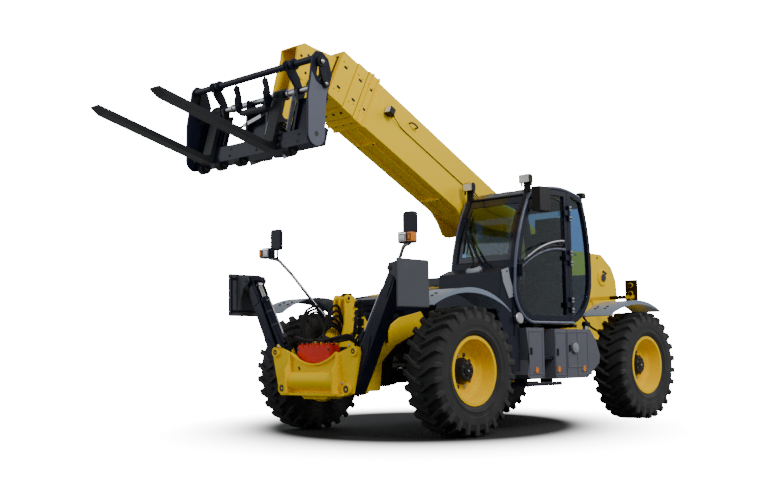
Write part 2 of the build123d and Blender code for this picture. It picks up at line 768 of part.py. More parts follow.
with BuildPart() as carriage:
    for y_high in (carriage_half, -carriage_half + end_plate):
        with BuildSketch(side(y_high)) as face:
            with BuildLine():
                Polyline(
                    (3398, 2700), (3396, 3040), (3360, 3240), (3335, 3400), (3290, 3450), (3220, 3450),
                    (3150, 3400), (3105, 3262), (3180, 3040), (3200, 2690),
                )
                ThreePointArc((3200, 2690), (3300, 2600), (3398, 2700))
            make_face()
            with Locations(Location((3262, 3300, 0), 100)):
                SlotOverall(150, 36, mode=Mode.SUBTRACT)
            with Locations((3300, 2710)):
                Circle(24, mode=Mode.SUBTRACT)
        extrude(face.sketch, amount=end_plate)
    for y in (-600, -500, 480, 580):
        rod_between((shaft[0], y, shaft[1]), (shaft[0], y + 26, shaft[1]), shaft_radius + 16)
    rod_between((shaft[0], -carriage_half, shaft[1]), (shaft[0], carriage_half, shaft[1]), shaft_radius)
    rod_between(
        (rail_point[0], -carriage_half, rail_point[1]), (rail_point[0], carriage_half, rail_point[1]),
        rail_radius,
    )
    # bottom beam and its back plates
    plate(fork_side(carriage_half), [(-110, 5), (-pin_fit, 5), (-pin_fit, 165), (-110, 165)], 2 * carriage_half)
    for y_low, y_high in ((-860, -480), (480, 860)):
        plate(fork_side(y_high), [(-50, 160), (-30, 160), (-30, 495), (-50, 495)], y_high - y_low)
    plate(
        fork_side(ear_inside + ear_plate), [(-50, 160), (-24, 160), (-24, 505), (-50, 505)],
        2 * (ear_inside + ear_plate),
    )
    # neck arms from the shaft down to the frame
    for y in (-560, 520):
        plate(
            side(y + 14),
            [
                (3245, 3390), (3290, 3440), (3335, 3390), (3300, 3300), (3210, 3190), (3190, 3060),
                (3250, 2800), (3170, 2780), (3120, 3160), (3180, 3300),
            ],
            28,
        )
    # hitch ears on the head's pin, and the tilt cylinder's lugs
    for y_high in (ear_inside + ear_plate, -ear_inside):
        plate(
            side(y_high),
            [
                (3225, 3200), (3150, 3170), (3040, 3010), (2950, 2960), (2930, 2900), (2950, 2840),
                (2910, 2735), (2935, 2660), (3125, 2615), (3260, 2700),
            ],
            ear_plate,
        )
        disc(side(y_high), head_pin, 75, ear_plate)
        disc(side(y_high + 1), head_pin, head_pin_radius + pin_fit, ear_plate + 2, mode=Mode.SUBTRACT)
    for y_high in (lug_inside + 20, -lug_inside):
        link(side(y_high), tilt_tip, heel_point(-30, 470), 42, 34, 20)
    # eyes of the forks pass between here, so the bar across them stays whole
save(carriage, "carriage")

for side_name, fork_y in forks:
    with BuildPart() as fork:
        plate(
            fork_side(fork_y + fork_width / 2),
            [
                (0, 0), (fork_length - 90, 0), (fork_length, fork_thickness - fork_tip),
                (fork_length, fork_thickness), (fork_thickness + 30, fork_thickness),
                (fork_thickness, fork_thickness + 30), (fork_thickness - 8, shank_height + 30),
                (0, shank_height + 30),
            ],
            fork_width,
        )
        disc(fork_side(fork_y + fork_width / 2), rail_at, rail_radius + 24, fork_width)
        disc(
            fork_side(fork_y + fork_width / 2 + 1), rail_at, rail_radius + pin_fit, fork_width + 2,
            mode=Mode.SUBTRACT,
        )
    save(fork, f"fork_{side_name}")

# ---------------------------------------------------------------- cab
cab_floor_z = 1085.0
sill = 30.0                               # from the cab's outline to the door's opening
hinge_x = -200.0
hinge_y = cab_outer_y + 14
hinge_heights = (1290.0, 1800.0, 2290.0)
hinge_radius, hinge_pin, hinge_half = 13.0, 7.0, 28.0
door_frame = 58.0
glass_inset = 22.0
screen_low, screen_high = 1730.0, 2440.0
side_margin = 62.0


def cab_outline():
    """Draw the cab's side outline in the current sketch."""
    with BuildLine() as outline:
        ThreePointArc((-445, 2500), (30, 2562), (455, 2470))
        ThreePointArc((455, 2470), (510, 2440), (540, 2385))
        ThreePointArc((540, 2385), (725, 1950), (800, 1500))
        ThreePointArc((800, 1500), (745, 1245), (480, cab_floor_z))
        Line((480, cab_floor_z), (-270, cab_floor_z))
        ThreePointArc((-270, cab_floor_z), (-520, 1240), (-645, 1520))
        ThreePointArc((-645, 1520), (-625, 2050), (-535, 2400))
        ThreePointArc((-535, 2400), (-500, 2470), (-445, 2500))
    make_face(outline.line.edges())


def cab_face(plane, inset, x_low=-2000.0, x_high=2000.0, z_low=0.0, z_high=4000.0):
    """Cab outline moved inward, kept only between two X and two Z values."""
    with BuildSketch(plane) as face:
        cab_outline()
        if inset:
            offset(amount=-inset, mode=Mode.REPLACE)
        with Locations(((x_low + x_high) / 2, (z_low + z_high) / 2)):
            Rectangle(x_high - x_low, z_high - z_low, mode=Mode.INTERSECT)
    return face.sketch


def brow_band():
    """Draw the curved bar across the door, a band that rises to the rear."""
    with BuildLine() as outline:
        ThreePointArc((900, 1560), (330, 1845), (-150, 1905))
        Line((-150, 1905), (-400, 1905))
        Line((-400, 1905), (-400, 1870))
        Line((-400, 1870), (-150, 1870))
        ThreePointArc((-150, 1870), (330, 1810), (900, 1525))
        Line((900, 1525), (900, 1560))
    return outline.line.edges()


def door_panes(plane):
    """The door's two panes, above and below the curved bar."""
    x_low = hinge_x + 10 + door_frame
    with BuildSketch(plane) as face:
        cab_outline()
        offset(amount=-(sill + gap + door_frame), mode=Mode.REPLACE)
        with Locations(((x_low + 2000) / 2, 2000)):
            Rectangle(2000 - x_low, 4000, mode=Mode.INTERSECT)
        make_face(brow_band(), mode=Mode.SUBTRACT)
    return face.sketch


quarter_high_x = hinge_x - 58
with BuildPart() as cab_shell:
    extrude(cab_face(side(cab_outer_y), 0), amount=cab_outer_y - cab_inner_y)
    for face in (cab_shell.faces().sort_by(Axis.Y)[0], cab_shell.faces().sort_by(Axis.Y)[-1]):
        fillet(face.outer_wire().edges(), cab_corner)
    extrude(
        cab_face(side(cab_outer_y - cab_wall), cab_wall),
        amount=cab_outer_y - cab_inner_y - 2 * cab_wall,
        mode=Mode.SUBTRACT,
    )
    # windscreen, rear window, right window, rear quarter window and the door's opening
    block(
        (200, cab_inner_y + side_margin, screen_low), (1100, cab_outer_y - side_margin, screen_high),
        mode=Mode.SUBTRACT,
    )
    block(
        (-900, cab_inner_y + side_margin, 1640), (-400, cab_outer_y - side_margin, 2380), mode=Mode.SUBTRACT
    )
    extrude(
        cab_face(side(cab_inner_y + cab_wall + 1), side_margin + 20, z_low=1560),
        amount=cab_wall + 2,
        mode=Mode.SUBTRACT,
    )
    extrude(
        cab_face(side(cab_outer_y + 1), side_margin, x_high=quarter_high_x, z_low=1180),
        amount=cab_wall + 2,
        mode=Mode.SUBTRACT,
    )
    extrude(
        cab_face(side(cab_outer_y + 1), sill, x_low=hinge_x + 4), amount=cab_wall + 2, mode=Mode.SUBTRACT
    )
    for z in hinge_heights:
        for z_low in (z - 3 * hinge_half, z + hinge_half):
            with Locations((MIDDLE + hinge_x, hinge_y, z_low + hinge_half)):
                Cylinder(hinge_radius, 2 * hinge_half)
            block(
                (hinge_x - 52, cab_outer_y - 4, z_low), (hinge_x, hinge_y - 2, z_low + 2 * hinge_half)
            )
        with Locations((MIDDLE + hinge_x, hinge_y, z)):
            Cylinder(hinge_pin, 6 * hinge_half)
save(cab_shell, "cab_shell")

with BuildPart() as door:
    extrude(cab_face(side(cab_outer_y), sill + gap, x_low=hinge_x + 10), amount=cab_wall)
    extrude(door_panes(side(cab_outer_y + 1)), amount=cab_wall + 2, mode=Mode.SUBTRACT)
    for z in hinge_heights:
        with Locations((MIDDLE + hinge_x, hinge_y, z)):
            Cylinder(hinge_radius, 2 * hinge_half - 2 * pin_fit)
        for x, y in ((hinge_x, cab_outer_y + 1), (hinge_x + 14, cab_outer_y - 2)):
            block((x, y, z - hinge_half + 1), (hinge_x + 80, hinge_y + 4, z + hinge_half - 1))
        with Locations((MIDDLE + hinge_x, hinge_y, z)):
            Cylinder(hinge_pin + pin_fit, 4 * hinge_half, mode=Mode.SUBTRACT)
    block((712, cab_outer_y - 2, 1560), (740, cab_outer_y + 28, 1690))
    padded(level(2245), (465, cab_outer_y + 125), 190, 100, 26, 250)
    for z in (2275, 2390):
        padded(level(z), (455, cab_outer_y + 38), 40, 80, 8, 16)
save(door, "door")

with BuildPart() as door_glass:
    extrude(door_panes(side(cab_outer_y - glass_inset)), amount=glass)
save(door_glass, "door_glass")

with BuildPart() as glazing_zone:
    block((200, cab_inner_y + side_margin, screen_low), (1100, cab_outer_y - side_margin, screen_high))
    block((-900, cab_inner_y + side_margin, 1640), (-400, cab_outer_y - side_margin, 2380))

with BuildPart() as cab_glass:
    width = cab_outer_y - cab_inner_y
    extrude(cab_face(side(cab_outer_y), glass_inset), amount=width)
    extrude(cab_face(side(cab_outer_y), glass_inset + glass), amount=width, mode=Mode.SUBTRACT)
    add(glazing_zone.part, mode=Mode.INTERSECT)
    extrude(
        cab_face(side(cab_inner_y + glass_inset + glass), side_margin + 20, z_low=1560), amount=glass
    )
    extrude(
        cab_face(side(cab_outer_y - glass_inset), side_margin, x_high=quarter_high_x, z_low=1180),
        amount=glass,
    )
save(cab_glass, "cab_glass")

# Cowl ahead of the cab, cut round the front wheel's sweep.
cowl_inner, cowl_outer = 300.0, 1090.0
with BuildPart() as cowl:
    plate(
        side(cowl_outer),
        [
            (560, 1660), (860, 1660), (1010, 1605), (1035, 1400), (1090, 1230), (1005, 1075), (905, 900),
            (860, 780), (835, 600), (690, 600), (560, 700),
        ],
        cowl_outer - cowl_inner,
    )
    extrude(cab_face(side(cab_outer_y + 1), 0), amount=cab_outer_y - cab_inner_y + 2, mode=Mode.SUBTRACT)
    block((500, cowl_inner - 1, 500), (1200, rail_outside, 872), mode=Mode.SUBTRACT)
    block((500, rail_outside - 1, 500), (700, cowl_outer + 1, 1090), mode=Mode.SUBTRACT)
save(cowl, "cowl")

# Seat, console, steering column and wheel.
seat_y = 680.0
floor = cab_floor_z + cab_wall
with BuildPart() as cab_interior:
    block((-250, seat_y - 170, floor), (60, seat_y + 170, floor + 260))
    block((-380, seat_y - 250, floor + 260), (120, seat_y + 250, floor + 390))
    plate(
        side(seat_y + 240),
        [(-380, floor + 380), (-300, floor + 390), (-350, floor + 980), (-410, floor + 1000), (-450, floor + 960)],
        480,
    )
    with Locations((MIDDLE - 455, seat_y, floor + 1060)):
        Box(90, 300, 190)
    for y in (seat_y - 262, seat_y + 212):
        padded(side(y + 50), (-170, floor + 600), 330, 60, 25, 50)
        block((-350, y + 5, floor + 560), (-310, y + 45, floor + 640))
    block((-250, cab_inner_y + cab_wall, floor), (260, seat_y - 265, floor + 470))
    block((370, seat_y - 60, floor), (475, seat_y + 60, floor + 30))
    rod_between((425, seat_y, floor + 10), (410, seat_y, floor + 530), 45)
    wheel_tilt = Plane(
        origin=(MIDDLE + 425, seat_y, floor + 535), x_dir=(0, 1, 0), z_dir=(-0.45, 0, 0.89)
    )
    with BuildSketch(wheel_tilt) as face:
        Circle(190)
        Circle(165, mode=Mode.SUBTRACT)
        Rectangle(345, 40)
    extrude(face.sketch, amount=26)
save(cab_interior, "cab_interior")

# Brackets under the cab, from the left rail outward.
with BuildPart() as cab_mounts:
    for x in (-400, 330):
        block((x, rail_inside, rail_high), (x + 80, rail_outside, cab_floor_z - 35))
        block((x, rail_inside, cab_floor_z - 35), (x + 80, 1060, cab_floor_z))
save(cab_mounts, "cab_mounts")

# ---------------------------------------------------------------- left side boxes and step
box_y = 1150.0
box_low, box_high = 520.0, 1040.0
with BuildPart() as side_boxes:
    plate(
        side(box_y),
        [(665, 1040), (612, 711), (654, 560), (630, 520), (357, 520), (357, 1040)],
        box_y - rail_outside,
    )
    plate(
        side(box_y),
        [(160, 506), (-450, 506), (-690, 660), (-707, 747), (-640, 900), (-520, 1030), (160, 1030)],
        box_y - rail_outside,
    )
    for x in (500, 100, -380):
        with BuildSketch(side(box_y + 5)) as face:
            with Locations((x, 590)):
                SlotOverall(96, 34)
        extrude(face.sketch, amount=6)
    for x in (-60, -260):
        block((x - 4, box_y - 9, 505), (x + 4, box_y + 1, 1031), mode=Mode.SUBTRACT)
    rod_between((-560, box_y - 95, 900), (-590, box_y - 95, 1075), 34)
    rod_between((-588, box_y - 95, 1070), (-598, box_y - 95, 1110), 44)
    rod_between((-200, box_y - 1, 830), (-200, box_y + 16, 830), 62)
save(side_boxes, "side_boxes")

with BuildPart() as step:
    block((160, 820, 715), (357, 1130, 740))
    block((0, 800, 440), (620, 1120, 465))
    for i in range(6):
        padded(level(439), (70 + 96 * i, 960), 60, 220, 14, 27, mode=Mode.SUBTRACT)
    for x, z in ((60, 506), (520, 520)):
        block((x, 900, 464), (x + 30, 1040, z))
save(step, "step")

# ---------------------------------------------------------------- engine side
pod_outer = -1120.0
lid_low = (1310.0, 1380.0)                # (x, z) of the lid's front top edge
lid_high = (-110.0, 1585.0)
lid_slope = atan2(lid_high[1] - lid_low[1], lid_high[0] - lid_low[0])
lid_depth = 60.0
lid_inner = -315.0
nose_outer = -820.0


def lid_height(x):
    """Z of the lid's top surface at an X."""
    share = (x - lid_high[0]) / (lid_low[0] - lid_high[0])
    return lid_high[1] + share * (lid_low[1] - lid_high[1])


def below_lid(x, drop):
    """(x, z) of a point below the lid's top surface."""
    return (x, lid_height(x) - drop)


lid_hinge_y = lid_inner + 10
lid_hinges = (60.0, 620.0, 1150.0)
hinge_eye, hinge_rod = 9.0, 4.0


def on_hinge(x):
    """Point on the lid's hinge axis."""
    return (x, lid_hinge_y, lid_height(x))


with BuildPart() as engine_pod:
    low_profile = [(850, 560), (790, 500), (-740, 500), (-790, 560)]
    plate(
        side(-rail_outside),
        [*low_profile, (-790, 1660), (-750, 1715), (-260, 1705), (-120, 1600),
         below_lid(-120, lid_depth + pin_fit), below_lid(850, lid_depth + pin_fit)],
        -rail_outside - pod_outer,
    )
    plate(
        side(lid_inner),
        [(-790, 900), (-790, 1660), (-750, 1715), (-260, 1705), (-120, 1600), below_lid(-120, lid_depth + pin_fit),
         below_lid(1300, lid_depth + pin_fit), (1300, 1262), (900, 1262), (840, 900)],
        lid_inner + rail_outside,
    )
    plate(
        side(-rail_outside),
        [below_lid(850, lid_depth + pin_fit), below_lid(1300, lid_depth + pin_fit), (1300, 1262), (850, 1262)],
        -rail_outside - nose_outer,
    )
    block((-90, pod_outer + 30, 540), (800, lid_inner - 30, 1700), mode=Mode.SUBTRACT)
    block((-90, -rail_outside, 500), (800, lid_inner + 1, 905), mode=Mode.SUBTRACT)
    block((-90, -rail_outside - 30, 540), (800, -rail_outside, 905))
    block((-90, -rail_outside - 30, 875), (800, lid_inner, 905))
    for i in range(10):
        padded(side(pod_outer + 16), (555, 660 + 52 * i), 400, 26, 12, 20, mode=Mode.SUBTRACT)
        padded(side(pod_outer + 16), (120, 660 + 52 * i), 300, 26, 12, 20, mode=Mode.SUBTRACT)
    for x in lid_hinges:
        rod_between(on_hinge(x), on_hinge(x + 40), hinge_eye)
        rod_between(on_hinge(x), on_hinge(x + 85), hinge_rod)
        plate(
            side(lid_hinge_y + 6),
            [below_lid(x, 0), below_lid(x + 40, 0), below_lid(x + 40, 90), below_lid(x, 90)],
            18,
        )
save(engine_pod, "engine_pod")

with BuildPart() as engine_block:
    block((-40, -1010, 540), (740, -490, 1230))
save(engine_block, "engine_block")

with BuildPart() as lid_hollow:
    plate(
        side(lid_inner - 20),
        [below_lid(-88, 16), below_lid(830, 16), below_lid(830, lid_depth + 5), below_lid(-88, lid_depth + 5)],
        lid_inner - pod_outer - 40,
    )

with BuildPart() as engine_hood:
    plan = [
        (-108, lid_inner - 6), (1310, lid_inner - 6), (1310, nose_outer + 30), (900, nose_outer),
        (858, pod_outer), (-108, pod_outer),
    ]
    plate(level(1200), plan, 500)
    plate(
        side(0),
        [below_lid(-300, 0), below_lid(1500, 0), below_lid(1500, lid_depth), below_lid(-300, lid_depth)],
        1300,
        mode=Mode.INTERSECT,
    )
    fillet(engine_hood.faces().sort_by(Axis.Z)[-1].edges().filter_by(lambda e: e.length > 250), 14)
    add(lid_hollow.part, mode=Mode.SUBTRACT)
    for x in lid_hinges:
        rod_between(on_hinge(x + 43), on_hinge(x + 80), hinge_eye)
        plate(
            side(lid_hinge_y),
            [below_lid(x + 43, -6), below_lid(x + 80, -6), below_lid(x + 80, 3), below_lid(x + 43, 3)],
            40,
        )
        rod_between(on_hinge(x + 35), on_hinge(x + 90), hinge_rod + pin_fit, mode=Mode.SUBTRACT)
save(engine_hood, "engine_hood")

# ---------------------------------------------------------------- fenders
fender_inner, fender_outer = 860.0, 1240.0
fender_skin = 5.0
lip_depth, lip_plate = 44.0, 10.0
tyre_top = axle_height + tyre_radius
fender_arcs = [                           # axle, then front end, top, rear end as (x from axle, z from tyre's top)
    (wheelbase / 2, (590, -9), (100, 161), (-560, -49)),
    (-wheelbase / 2, (794, -59), (260, 118), (-325, 6)),
]
with BuildPart() as fenders:
    for axle, *ends in fender_arcs:
        front, top, rear = [(axle + x, tyre_top + z) for x, z in ends]
        for y_high in (fender_outer, -fender_inner):
            with BuildSketch(side(y_high)) as face:
                with BuildLine():
                    arc = ThreePointArc(front, top, rear)
                    offset(arc, amount=fender_skin, side=Side.BOTH)
                make_face()
            extrude(face.sketch, amount=fender_outer - fender_inner)
        for y_high in (fender_outer, -fender_outer + lip_plate):
            with BuildSketch(side(y_high)) as face:
                with BuildLine():
                    ThreePointArc(front, (top[0], top[1] + 4), rear)
                    ThreePointArc(rear, (top[0], top[1] - lip_depth), front)
                make_face()
            extrude(face.sketch, amount=lip_plate)
    # rear fenders on arms from the rails, front ones against the cowl and the engine's nose
    for y_sign in (1, -1):
        for low, high in (((400, 800), (430, 1205)), ((400, 1178), (900, 1205))):
            ys = sorted((y_sign * low[0], y_sign * high[0]))
            block((-845, ys[0], low[1]), (-815, ys[1], high[1]))
    block((1235, -880, 1290), (1265, nose_outer, 1335))
    plate(
        side(cowl_outer + 1),
        [(500, 1400), (1035 + pin_fit, 1400), (1090 + pin_fit, 1230), (1005 + pin_fit, 1075), (500, 1075)],
        cowl_outer - cowl_inner,
        mode=Mode.SUBTRACT,
    )
save(fenders, "fenders")

# ---------------------------------------------------------------- lamps, mirrors and small fittings
lamp_base = (1977.0, 445.0, 1180.0)       # foot of a lamp's arm on its post
lamp_at = (2240.0, 1000.0, 1815.0)
with BuildPart() as lamp_arms:
    for y_sign in (1, -1):
        pipe(
            [
                (lamp_base[0], y_sign * 438, 900), (lamp_base[0], y_sign * 438, lamp_base[2]),
                (2150, y_sign * 760, 1640), (2215, y_sign * 900, 1800), (lamp_at[0], y_sign * lamp_at[1], lamp_at[2]),
            ],
            16,
            60,
        )
        padded(across(lamp_at[0] - 5), (y_sign * 1000, 1858), 170, 96, 20, 70)
        padded(across(lamp_at[0] + 64), (y_sign * 975, 1862), 96, 70, 24, 16)
        padded(across(lamp_at[0] + 64), (y_sign * 1058, 1862), 42, 66, 12, 10)
        padded(across(2160), (y_sign * 955, 2010), 150, 220, 34, 42)
        rod_between((2215, y_sign * 900, 1800), (2180, y_sign * 950, 1930), 10)
save(lamp_arms, "lamp_arms")

with BuildPart() as work_lamps:
    for x, y, z in ((470, 320, 2560), (470, 1085, 2560)):
        padded(across(x), (y, z + 38), 120, 84, 16, 62)
        padded(across(x + 60), (y, z + 38), 96, 62, 12, 10)
    padded(across(-625), (1040, 2530), 84, 66, 12, 65)
    for y in (320, 1085):
        block((478, y - 40, 2400), (498, y + 40, 2565))
    block((-600, 1025, 2440), (-480, 1050, 2505))
    extrude(cab_face(side(cab_outer_y + 1), 0), amount=cab_outer_y - cab_inner_y + 2, mode=Mode.SUBTRACT)
save(work_lamps, "work_lamps")

with BuildPart() as valve_block:
    block((2340, -300, 700), (2480, 160, 872))
    for i in range(6):
        block((2352, -296 + 77 * i, 868), (2468, -236 + 77 * i, 892))
        rod_between((2380, -266 + 77 * i, 880), (2380, -266 + 77 * i, 908), 16)
        rod_between((2438, -266 + 77 * i, 880), (2438, -266 + 77 * i, 908), 16)
save(valve_block, "valve_block")

with BuildPart() as lever_bracket:
    for y_high in (-291, -377):
        with BuildSketch(side(y_high)) as face:
            with BuildLine():
                Polyline(
                    (1830, 1370), (1838, 1100), (1905, rail_high), (1560, rail_high), (1622, 1060), (1640, 1330),
                    (1700, 1400), (1765, 1411),
                )
                ThreePointArc((1765, 1411), (1812, 1402), (1830, 1370))
            make_face()
            with Locations((1730, 985)):
                Circle(34, mode=Mode.SUBTRACT)
        extrude(face.sketch, amount=16)
    for x, z, radius in ((1787, 1370, 22), (1690, 1290, 26), (1700, 1170, 26)):
        rod_between((x, -400, z), (x, -284, z), radius)
    block((1600, -393, rail_high), (1860, -291, rail_high + 18))
save(lever_bracket, "lever_bracket")

tow_pin = 16.2
with BuildPart() as counterweight:
    block((-2650, -560, 560), (rail_rear, 560, 1000))
    fillet(counterweight.edges().filter_by(Axis.Z).group_by(Axis.X)[0], 90)
    fillet(counterweight.edges().group_by(Axis.Z)[-1].group_by(Axis.X)[0], 30)
    for y in (-440, 440):
        padded(across(-2651), (y, 900), 150, 70, 20, 24, mode=Mode.SUBTRACT)
    block((-2651, -110, 720), (-2520, 110, 810), mode=Mode.SUBTRACT)
    rod_between((-2600, 0, 500), (-2600, 0, 1100), tow_pin + pin_fit, mode=Mode.SUBTRACT)
save(counterweight, "counterweight")
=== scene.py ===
"""Telescopic handler: finishes, small pieces, floor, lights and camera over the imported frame."""
import json
import logging
from collections.abc import Callable, Iterable
from dataclasses import dataclass
from enum import Enum
from math import atan2, cos, hypot, pi, radians, sin, tau

import bmesh
import bpy
from mathutils import Matrix, Vector


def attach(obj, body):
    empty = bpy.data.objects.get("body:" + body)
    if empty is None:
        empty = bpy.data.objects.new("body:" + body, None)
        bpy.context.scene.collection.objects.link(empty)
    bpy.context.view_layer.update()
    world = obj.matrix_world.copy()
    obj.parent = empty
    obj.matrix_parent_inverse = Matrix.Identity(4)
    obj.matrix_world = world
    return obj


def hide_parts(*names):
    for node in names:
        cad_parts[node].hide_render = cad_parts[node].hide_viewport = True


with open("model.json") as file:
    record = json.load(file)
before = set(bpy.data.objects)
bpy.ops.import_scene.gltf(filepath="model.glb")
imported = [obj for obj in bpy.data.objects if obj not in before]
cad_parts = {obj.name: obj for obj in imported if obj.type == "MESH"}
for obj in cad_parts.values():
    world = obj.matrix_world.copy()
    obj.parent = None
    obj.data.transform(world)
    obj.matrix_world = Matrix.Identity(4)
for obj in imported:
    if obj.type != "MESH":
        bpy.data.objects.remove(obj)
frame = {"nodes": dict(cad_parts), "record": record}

logging.basicConfig(level=logging.INFO, format="%(message)s")
LOG = logging.getLogger("handler")

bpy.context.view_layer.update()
MIDDLE = -0.95             # X of the middle of the wheelbase
AXLE_X = 1.6               # axles before and behind it
AXLE_Z = 0.622             # axles' height
WHEEL_Y = 1.05             # middle of each wheel, left and right
BOOM_ANGLE = radians(26.2)
PIVOT = (-2.2, 1.72)       # (x, z) of the boom's pivot, x from the middle of the wheelbase
BOOM_LINE = -0.37          # the sections' middle line, up from the pivot
FORK_ANGLE = radians(14.8)
HEEL = (3.3, 2.64)         # (x, z) of the forks' heel

Point = tuple[float, float, float]
Flat = tuple[float, float]
Spot = Point | Vector      # three numbers are read as at() reads them
Placer = Callable[[float, float, float], Vector]
Steps = tuple[Callable[[], None], ...]

AHEAD, LEFT, UP = Vector((1, 0, 0)), Vector((0, 1, 0)), Vector((0, 0, 1))
SQUARE = ((-1, -1), (1, -1), (1, 1), (-1, 1))
SIDES = (("left", 1), ("right", -1))


def at(x: float, y: float, z: float) -> Vector:
    """Point in the row frame, its x given from the middle of the wheelbase."""
    return Vector((MIDDLE + x, y, z))


def spot(place: Spot) -> Vector:
    """The place as a vector."""
    return place if isinstance(place, Vector) else at(*place)


def facing_x(y: float, z: float, x: float) -> Vector:
    """Point of an outline drawn in (y, z)."""
    return at(x, y, z)


def facing_y(x: float, z: float, y: float) -> Vector:
    """Point of an outline drawn in (x, z)."""
    return at(x, y, z)


def on_boom(along: float, up: float, y: float = 0.0) -> Vector:
    """Point given along the boom and square to it, from its pivot."""
    c, s = cos(BOOM_ANGLE), sin(BOOM_ANGLE)
    return at(PIVOT[0] + along * c - up * s, y, PIVOT[1] + along * s + up * c)


def on_fork(forward: float, up: float, y: float = 0.0) -> Vector:
    """Point given forward and up from the forks' heel, leaning with them."""
    c, s = cos(FORK_ANGLE), sin(FORK_ANGLE)
    return at(HEEL[0] + forward * c - up * s, y, HEEL[1] + forward * s + up * c)


ALONG_BOOM = on_boom(1, 0) - on_boom(0, 0)
OFF_BOOM = on_boom(0, 1) - on_boom(0, 0)


# ---------------------------------------------------------------- node graphs and shared effects
class Graph:
    """A node tree with short ways to place nodes and join them."""

    def __init__(self, tree: bpy.types.NodeTree) -> None:
        """Work on a tree."""
        self.tree = tree

    def feed(self, node: bpy.types.Node, inputs: dict) -> None:
        """Link or set a node's inputs.

        Args:
            node: whose inputs they are.
            inputs: a socket or a plain value for each input's name or number.
        """
        for label, value in inputs.items():
            if isinstance(value, bpy.types.NodeSocket):
                self.tree.links.new(value, node.inputs[label])
            else:
                node.inputs[label].default_value = value

    def add(self, kind: str, inputs: dict | None = None, **settings: object) -> bpy.types.NodeOutputs:
        """Place a node.

        Args:
            kind: its type, without the prefix.
            inputs: as for feed().
            settings: its own settings.

        Returns:
            Its outputs.
        """
        node = self.tree.nodes.new(f"ShaderNode{kind}")
        for label, value in settings.items():
            setattr(node, label, value)
        self.feed(node, inputs or {})
        return node.outputs

    def noise(
        self, scale: float, detail: float, stretch: Point = (1, 1, 1), seed: float = 0.0
    ) -> bpy.types.NodeSocket:
        """Noise over object space.

        Args:
            scale: cells per metre.
            detail: octaves.
            stretch: scale along each axis.
            seed: offset that sets one noise apart from another.

        Returns:
            The noise's value socket.
        """
        place = self.add("TexCoord")["Object"]
        turn = self.add("Mapping", {"Scale": stretch, "Location": (seed, seed * 0.7, seed * 0.3), "Vector": place})
        return self.add("TexNoise", {"Scale": scale, "Detail": detail, "Vector": turn["Vector"]})["Fac"]

    def span(
        self, value: object, low: object, high: object, to_low: float = 0.0, to_high: float = 1.0
    ) -> bpy.types.NodeSocket:
        """Map a value's range to another one, clamped; returns the result's socket."""
        ends = {"From Min": low, "From Max": high, "To Min": to_low, "To Max": to_high}
        return self.add("MapRange", {**ends, "Value": value})["Result"]

    def math(self, kind: str, a: object, b: object, clamp: bool = True) -> bpy.types.NodeSocket:
        """Calculate with two values; returns the result's socket."""
        return self.add("Math", {0: a, 1: b}, operation=kind, use_clamp=clamp)[0]

    def lay(self, mask: object, under: object, over: object, blend: str = "MIX") -> bpy.types.NodeSocket:
        """Lay a colour over another by a mask; returns the mixed colour's socket."""
        return self.add("Mix", {"Factor": mask, 6: under, 7: over}, data_type="RGBA", blend_type=blend)[2]

    def effect(self, name: str, inputs: dict) -> bpy.types.NodeOutputs:
        """Place a shared effect's group; returns its outputs."""
        return self.add("Group", inputs, node_tree=EFFECTS.group(name))


